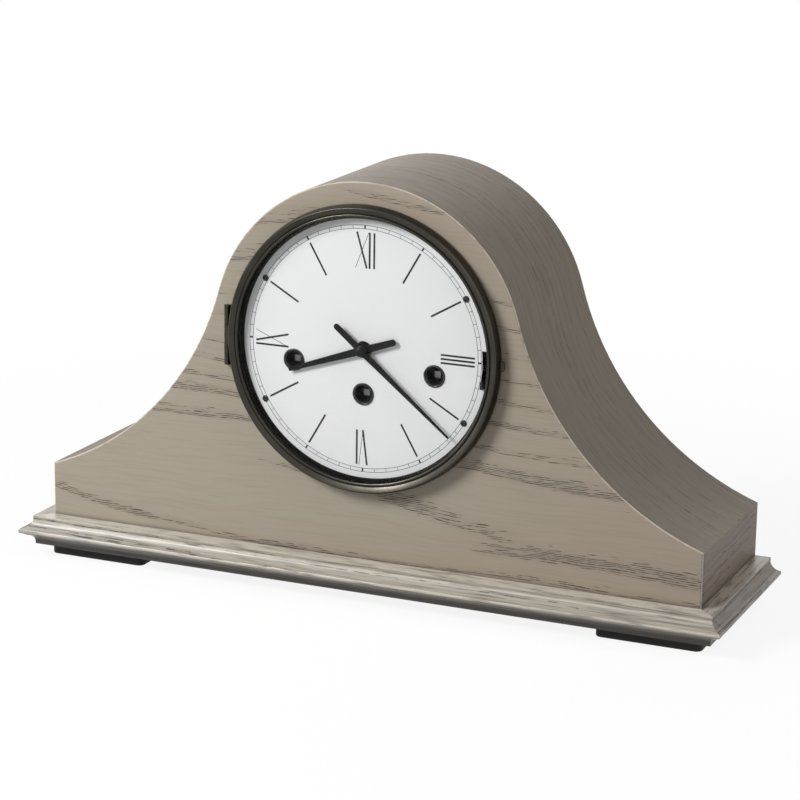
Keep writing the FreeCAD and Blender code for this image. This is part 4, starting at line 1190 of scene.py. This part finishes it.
@dataclass
class Dial(Assembly):
    """The white dial's printing, screws and grommets."""

    face_h: float = 0.8
    ink_h: float = 0.03
    track_radii: Point = (69.3, 71.4)
    track_line: float = 0.26
    tick_w: float = 0.26
    hour_tick_w: float = 1.0
    hour_tick_over: float = 0.1
    hour_ticks: Tuple[int, ...] = (12, 1, 3, 5, 6, 7, 9, 11)
    bar_hours: Tuple[int, ...] = (1, 2, 4, 5, 7, 8, 10, 11)
    numeral_radii: Point = (46.9, 67.4)
    thick: float = 1.12
    thin: float = 0.3
    screw_circle: float = 70.9
    screw_hours: Tuple[int, ...] = (2, 4, 8, 10)
    screw_r: float = 1.9
    screw_rise: float = 0.75
    grommet_r: float = 6.5
    # The sleeve behind each winding hole ends in a black floor that is painted shade.
    sleeve_r: float = 4.85
    shade_floor_hole_r: float = 2.8
    shade_floor_depth: float = 9.4
    sleeve_wall: float = 0.2
    winding_places: Tuple[Point, ...] = ((-43.3, -10.5), (0.0, -25.8), (43.3, -10.5))

    def ink(self, name: str, start: Point, end: Point, width: float) -> Piece:
        """One printed line."""
        return Shaper.bar(name, start, end, width, front(self.face_h + self.ink_h), front(self.face_h) + 0.01)

    def circle_line(self, name: str, radius: float) -> Piece:
        """One printed circle.

        Args:
            name: its name.
            radius: its middle radius.

        Returns:
            The line.
        """
        half = self.track_line / 2
        y0, y1 = front(self.face_h + self.ink_h), front(self.face_h) + 0.01
        profile = [(radius - half, y1), (radius + half, y1), (radius + half, y0), (radius - half, y0)]
        return Shaper.turned(name, profile, DIAL_CENTRE, 240)

    def minute_track(self) -> Piece:
        """The two circles with a tick for each minute and heavier ones at the hours.

        Returns:
            The track as one piece.
        """
        low, high = self.track_radii
        over = self.hour_tick_over
        tick = self.ink("tick", (0.0, low), (0.0, high), self.tick_w)
        heavy = self.ink("hour_tick", (0.0, low - over), (0.0, high + over), self.hour_tick_w)
        pieces = [self.circle_line("inner_line", low), self.circle_line("outer_line", high)]
        pieces += Shaper.repeated(tick, Shaper.to_hours([minute / 5 for minute in range(60) if minute % 5]))
        pieces += Shaper.repeated(heavy, Shaper.to_hours(self.hour_ticks))
        return Shaper.join("dial_minute_track", pieces)

    def numerals(self) -> Piece:
        """The slim numerals at twelve, three, six and nine, and plain bars at the other hours.

        Returns:
            The numerals as one piece.
        """
        low, high = self.numeral_radii
        thick = [
            ((-4.8, high), (1.3, low)), ((3.0, high), (3.0, low)), ((5.8, high), (5.8, low)),
            ((low, 2.3), (high, 2.3)), ((low, 0.0), (high, 0.0)), ((low, -2.3), (high, -2.3)),
            ((-3.7, -low), (-3.7, -high)), ((0.0, -low), (2.7, -high)),
            ((-high, -3.3), (-low, -3.3)), ((-high, -1.3), (-low, 3.9)),
        ]
        thin = [((2.4, high), (-5.6, low)), ((0.0, -low), (-2.2, -high)), ((-high, 5.0), (-low, -3.6))]
        pieces = []
        for strokes, width in ((thick, self.thick), (thin, self.thin)):
            pieces += [self.ink("stroke", start, end, width) for start, end in strokes]
        bar = self.ink("hour_bar", (0.0, low), (0.0, high), self.thick)
        return Shaper.join("dial_numerals", pieces + Shaper.repeated(bar, Shaper.to_hours(self.bar_hours)))

    def screw(self) -> Piece:
        """A round-headed screw at twelve, with a hollow for the driver.

        Returns:
            The screw's head.
        """
        base, top = front(self.face_h), front(self.face_h + self.screw_rise)
        profile = [(self.screw_r, base), (self.screw_r, base - 0.25), (1.62, top + 0.16), (1.1, top),
                   (0.62, top), (0.5, top + 0.35), (0.0, top + 0.4)]
        return Shaper.turned("screw", profile, (0.0, 0.0, DIAL_Z + self.screw_circle), 28, False)

    def grommet(self) -> Piece:
        """A flanged grommet with a rolled rim and a sleeve that ends behind the dial in a black floor, which
        is painted shade deep in the winding hole.

        Returns:
            The grommet, at the dial's centre.
        """
        base = front(self.face_h)
        floor, under = base + self.shade_floor_depth, base + self.shade_floor_depth + self.sleeve_wall
        outer = self.sleeve_r + self.sleeve_wall
        rim = [(self.grommet_r, base), (self.grommet_r, base - 0.3), (6.25, base - 0.56), (5.9, base - 0.64),
               (5.55, base - 0.56), (5.25, base - 0.3), (4.95, base + 0.1)]
        # Painted shade: the sleeve's black floor is a dark sheet where the winding hole would be in shade.
        sleeve_and_shade_floor = [(self.sleeve_r, floor), (self.shade_floor_hole_r, floor), (self.shade_floor_hole_r, under), (outer, under),
               (outer, base)]
        return Shaper.turned("grommet", rim + sleeve_and_shade_floor, DIAL_CENTRE, 48)

    def build(self) -> None:
        """Makes the printing, screws and grommets."""
        self.place(self.minute_track(), "case", "hand_black", INK)
        self.place(self.numerals(), "case", "hand_black", INK)
        heads = Shaper.repeated(self.screw(), Shaper.to_hours(self.screw_hours))
        self.fitting("dial_screw_heads", heads, "dial_screws")
        holes = Shaper.moves([(x, 0.0, z) for x, z in self.winding_places])
        self.fitting("rolled_grommets", Shaper.repeated(self.grommet(), holes), "winding_grommets")

    def fitting(self, name: str, pieces: Sequence[Piece], node: str) -> None:
        """Joins pieces into one black fitting that stands for a node."""
        self.place(Shaper.join(name, pieces), "case", "black_fittings", BLACK_PAINT, [node])


@dataclass(frozen=True)
class Blade:
    """The sizes of one hand: length, half widths, hub radius, height above the face and clock angle."""

    length: float
    tip_half: float
    root_half: float
    tail_half: float
    hub_r: float
    h: float
    angle: float


@dataclass
class Hands(Assembly):
    """The two hands and the domed nut."""

    minute: Blade = Blade(69.5, 0.6, 1.95, 1.75, 3.4, 4.1, 129.5)
    hour: Blade = Blade(48.5, 1.15, 2.3, 1.85, 4.2, 2.4, 250.8)
    tail: float = 21.5
    thickness: float = 0.6
    bore_r: float = 1.3
    hub_rise: float = 0.12
    hub_round: float = 0.16
    edge_round: float = 0.14
    tail_round: float = 0.98
    nut_r: float = 2.9
    nut_bore_r: float = 0.6
    collar: float = 0.3
    nut_top_h: float = 8.0
    nut_dome: float = 1.3

    def blade(self, name: str, hand: Blade) -> Piece:
        """A tapered hand with a rounded tail and a round hub.

        Args:
            name: its name.
            hand: its sizes.

        Returns:
            The hand.
        """
        y0, y1 = front(hand.h + self.thickness), front(hand.h)
        low, high = DIAL_Z - self.tail, DIAL_Z + hand.length
        piece = Shaper.block(name, (-hand.root_half, y0, low), (hand.root_half, y1, high))
        bpy.ops.object.mode_set(mode="EDIT")
        bpy.ops.mesh.select_all(action="SELECT")
        bpy.ops.mesh.bisect(plane_co=(0.0, 0.0, DIAL_Z * MM), plane_no=(0.0, 0.0, 1.0))
        for level, half in ((high, hand.tip_half), (low, hand.tail_half)):
            Shaper.pick(lambda p, level=level: abs(p.z - level) < TOUCH, True)
            bpy.ops.transform.resize(value=(half / hand.root_half, 1.0, 1.0),
                                     center_override=Shaper.metres((0.0, y0, level)))
        bpy.ops.object.mode_set(mode="OBJECT")
        Shaper.round_edges(lambda p: abs(p.z - low) < TOUCH and abs(p.x) > hand.tail_half - TOUCH,
                           hand.tail_half * self.tail_round, 8)
        Shaper.rounded(piece, self.edge_round, 2, 40.0)
        top = y0 - self.hub_rise
        corners = [(self.bore_r, y1), (hand.hub_r, y1), (hand.hub_r, top), (self.bore_r, top)]
        hub = Shaper.turned(name + "_hub", softened(corners, self.hub_round, 3), DIAL_CENTRE, 48)
        whole = Shaper.join(name, [piece, hub])
        whole.data.transform(Shaper.about_dial(hand.angle))
        return whole

    def nut(self) -> Piece:
        """The domed nut that holds the minute hand, with a collar under it.

        Returns:
            The nut.
        """
        base = front(self.minute.h + self.thickness)
        top, dome, r = front(self.nut_top_h), self.nut_dome, self.nut_r
        edge = r + self.collar
        profile = [(self.nut_bore_r, base), (edge, base), (edge, base - 0.35),
                   (r + self.collar / 2, base - 0.5), (r, base - 0.55), (r, top + dome)]
        for step in range(1, 7):
            turn = math.radians(15 * step)
            profile.append((r * math.cos(turn), top + dome * (1 - math.sin(turn))))
        profile[-1] = (0.0, top)
        return Shaper.turned("domed_nut", profile, DIAL_CENTRE, 40, False)

    def build(self) -> None:
        """Makes the hands and the nut."""
        for body, hand in (("minute", self.minute), ("hour", self.hour)):
            self.place(self.blade(body + "_blade", hand), body, "hand_black", HAND_BLACK, [body + "_hand"])
        self.place(self.nut(), "minute", "hand_black", HAND_BLACK, ["hand_nut"])


@dataclass
class Bezel(Assembly):
    """The glazed bezel that swings on its hinge at nine o'clock."""

    pull_x: Point = (82.0, 85.6)
    pull_h: Point = (1.8, 2.8)
    pull_half: float = 3.1
    pull_corner: float = 1.4
    pull_edge: float = 0.2
    outer_r: float = 83.4
    corner_round: float = 0.22
    glass_r: float = 77.4
    glass_edge_h: float = 4.9
    glass_rise: float = 4.4
    glass_t: float = 1.4
    glass_steps: int = 14

    def ring(self) -> Piece:
        """The turned ring: an outer flange, a fine groove and an inner lip.

        Returns:
            The ring.
        """
        r = self.outer_r
        flange = [(77.7, 1.2), (r, 1.2), (r - 0.2, 3.2), (r - 1.1, 7.1), (81.6, 7.7), (78.75, 6.35)]
        groove = [(78.6, 5.9), (78.4, 5.9), (78.2, 6.6)]
        lip = [(77.8, 6.85), (77.2, 6.8), (76.75, 6.5), (76.7, 6.1), (77.7, 6.1)]
        corners = softened(flange + groove + lip, self.corner_round, 3)
        profile = [(radius, front(h)) for radius, h in corners]
        return Shaper.turned("turned_bezel", profile, DIAL_CENTRE, 160, True, 50.0)

    def glass(self) -> Piece:
        """The domed glass, of even thickness.

        Returns:
            The glass.
        """
        profile = []
        for step in range(self.glass_steps + 1):
            r = self.glass_r * (1 - step / self.glass_steps)
            h = self.glass_edge_h + self.glass_rise * (1 - (r / self.glass_r) ** 2)
            profile.append((r, front(h)))
        profile[-1] = (0.0, profile[-1][1])
        piece = Shaper.turned("domed_glass", profile, DIAL_CENTRE, 96, False, 60.0)
        Shaper.applied(piece, "SOLIDIFY", 60.0, {"thickness": self.glass_t * MM, "offset": 1.0})
        return piece

    def pull(self) -> Piece:
        """The finger tab at three o'clock, with round corners.

        Returns:
            The tab.
        """
        low = (self.pull_x[0], front(self.pull_h[1]), DIAL_Z - self.pull_half)
        high = (self.pull_x[1], front(self.pull_h[0]), DIAL_Z + self.pull_half)
        piece = Shaper.block("finger_tab", low, high)
        Shaper.round_edges(lambda p: p.x > high[0] - TOUCH and abs(p.z - DIAL_Z) > self.pull_half - TOUCH,
                           self.pull_corner, 6)
        Shaper.rounded(piece, self.pull_edge, 2, 50.0)
        return piece

    def build(self) -> None:
        """Makes the ring, the glass and the tab."""
        self.place(self.pull(), "bezel", "bezel_bronze", BRONZE, ["bezel_pull"])
        self.place(self.ring(), "bezel", "bezel_bronze", BRONZE, ["bezel_ring"])
        self.place(self.glass(), "bezel", "glass", GLASS, ["bezel_glass"])


@dataclass
class Back(Assembly):
    """What is added behind: the screws of the door's hinges."""

    leaf_t: float = 0.9
    rear_y: float = 55.0
    hinge_zs: Point = (60.5, 130.5)
    frame_leaf_x: float = -88.4
    door_leaf_x: float = -74.8
    screw_gap: float = 18.0
    screw_r: float = 1.5

    def screw(self) -> Piece:
        """A countersunk screw head with a round hollow that faces the back, on the leaf of a hinge.

        Returns:
            The screw's head, at the origin's x and z.
        """
        y = self.rear_y + self.leaf_t
        profile = [(self.screw_r, y - 0.05), (self.screw_r, y + 0.1), (1.2, y + 0.28), (0.45, y + 0.34),
                   (0.4, y + 0.12), (0.0, y + 0.1)]
        return Shaper.turned("head", profile, (0.0, 0.0, 0.0), 20, False)

    def build(self) -> None:
        """Makes the screws of the hinges' leaves."""
        heights = [z + side * self.screw_gap / 2 for z in self.hinge_zs for side in (-1, 1)]
        for body, x, name in (("case", self.frame_leaf_x, "frame_leaf_screws"),
                              ("rear_door", self.door_leaf_x, "door_leaf_screws")):
            heads = Shaper.repeated(self.screw(), Shaper.moves([(x, 0.0, z) for z in heights]))
            self.place(Shaper.join(name, heads), body, "door_brass", DOOR_BRASS)


@dataclass
class Studio:
    """The camera, the lamps, the floor and the world round the clock.

    The lamps' sizes and distance, the floor's radius and the reach of its glow are in metres.
    """

    azimuth: float = 23.075
    elevation: float = 14.841
    roll: float = 0.819
    distance: float = 1539.1
    lens: float = 123.04
    target: Place = (22.3, FRONT_Y, 121.7)
    lamps: Tuple[Tuple[str, Place, float, float], ...] = (
        ("key_lamp", (-0.55, -0.61, 0.57), 0.5, 21.8),
        ("front_fill", (0.5, -1.0, 0.2), 1.0, 0.7),
        ("left_edge", (-0.95, -0.25, 0.16), 0.5, 3.5),
        ("overhead", (0.66, -0.12, 0.74), 1.0, 5.5),
        ("right_fill", (1.0, -0.1, 0.35), 1.0, 4.0),
        ("back_fill", (-0.3, 1.0, 0.5), 1.2, 5.0),
    )
    lamp_distance: float = 1.5
    lamp_target_z: float = DIAL_Z * 0.7
    sensor: float = 36.0
    room_strength: float = 0.08
    floor_r: float = 6.0
    floor_drop: float = 0.2
    floor_greys: Tuple[float, float, float] = (0.5, 0.48, 0.95)
    glow_reach: Point = (0.2, 0.7)
    glow_share: Point = (0.88, 1.0)

    def camera(self) -> None:
        """Places the camera at the photograph's angle."""
        az, el = math.radians(self.azimuth), math.radians(self.elevation)
        back = Vector((math.sin(az) * math.cos(el), -math.cos(az) * math.cos(el), math.sin(el)))
        right = Vector((math.cos(az), math.sin(az), 0.0))
        up = back.cross(right)
        turn = math.radians(self.roll)
        cos, sin = math.cos(turn), math.sin(turn)
        right, up = right * cos + up * sin, up * cos - right * sin
        place = Shaper.metres(self.target) + back * self.distance * MM
        lens = bpy.data.cameras.new("camera")
        lens.lens = self.lens
        lens.sensor_width = self.sensor
        eye = bpy.data.objects.new("camera", lens)
        bpy.context.scene.collection.objects.link(eye)
        turned = Matrix((right, up, back)).transposed().to_4x4()
        eye.matrix_world = Matrix.Translation(place) @ turned
        bpy.context.scene.camera = eye

    def light(self) -> None:
        """Hangs the soft lamps."""
        centre = Shaper.metres((0.0, 0.0, self.lamp_target_z))
        for name, way, size, power in self.lamps:
            lamp = bpy.data.lights.new(name, "AREA")
            lamp.size = size
            lamp.energy = power
            holder = bpy.data.objects.new(name, lamp)
            bpy.context.scene.collection.objects.link(holder)
            way_to = Vector(way).normalized()
            holder.location = centre + way_to * self.lamp_distance
            holder.rotation_euler = way_to.to_track_quat("Z", "Y").to_euler()

    @staticmethod
    def seen(bench: Bench) -> Wire:
        """What is 1 where a ray comes from the camera, a gloss or a clear piece, and 0 elsewhere.

        Args:
            bench: the tree to build in.

        Returns:
            The wire.
        """
        path = bench.add("ShaderNodeLightPath", {}, {}, "Is Camera Ray")
        others = path.socket.node.outputs
        gloss, clear = Wire(bench, others["Is Glossy Ray"]), Wire(bench, others["Is Transmission Ray"])
        return path.joined("MAXIMUM", gloss).joined("MAXIMUM", clear)

    @staticmethod
    def grey(level: float) -> Tuple[float, float, float, float]:
        """A grey as a colour socket takes it."""
        return (level, level, level, 1.0)

    def world(self) -> None:
        """A white backdrop that lights the clock only a little."""
        world = bpy.data.worlds.new("backdrop")
        world.use_nodes = True
        bpy.context.scene.world = world
        bench = Bench(world.node_tree)
        dim = bench.add("ShaderNodeBackground", {}, {"Color": self.grey(1.0), "Strength": self.room_strength})
        white = bench.add("ShaderNodeBackground", {}, {"Color": self.grey(1.0), "Strength": 1.0})
        both = bench.add("ShaderNodeMixShader", {}, {0: self.seen(bench), 1: dim, 2: white})
        bench.add("ShaderNodeOutputWorld", {}, {"Surface": both})

    def floor(self) -> None:
        """A pale floor that runs into the backdrop and keeps the clock's shadow."""
        Shaper.choose()
        bpy.ops.mesh.primitive_circle_add(vertices=96, radius=self.floor_r, fill_type="NGON",
                                          location=(0.0, 0.0, -self.floor_drop * MM))
        piece = Shaper.settle("floor")
        look = bpy.data.materials.new("pale_floor")
        look.use_nodes = True
        bench = Bench(look.node_tree)
        x, y, _ = bench.place()
        mottle = bench.noise(x * 12.0, y * 12.0, 0.0, 2.0)
        one, other, bright = ((level,) * 3 for level in self.floor_greys)
        pale = bench.mix(self.seen(bench), bench.mix(mottle, one, other), bright)
        matt = bench.principled({"Base Color": pale, "Roughness": 0.9, "Specular IOR Level": 0.1})
        glow = bench.add("ShaderNodeEmission", {}, {"Color": self.grey(1.0), "Strength": 1.0})
        away = bench.step((x * x + y * y).single("SQRT"), *self.glow_reach, *self.glow_share)
        bench.surface(bench.add("ShaderNodeMixShader", {}, {0: self.seen(bench) * away, 1: matt, 2: glow}))
        piece.data.materials.append(look)

    def build(self) -> None:
        """Sets up the whole studio."""
        self.camera()
        self.light()
        self.world()
        self.floor()
        bpy.context.scene.view_settings.view_transform = "Standard"


def main() -> None:
    """Builds the clock's looks in order and writes how large they are."""
    logging.basicConfig(level=logging.INFO, format="%(message)s")
    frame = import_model()
    nodes = frame["nodes"]
    shared = Assembly(nodes)
    for node, finish in NODE_FINISHES.items():
        shared.finish_node(node, finish)
    for group in (Case(nodes), Dial(nodes), Hands(nodes), Bezel(nodes), Back(nodes)):
        LOG.info("%s", type(group).__name__)
        group.build()
    Studio().build()
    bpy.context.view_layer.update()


if __name__ == "__main__":
    main()
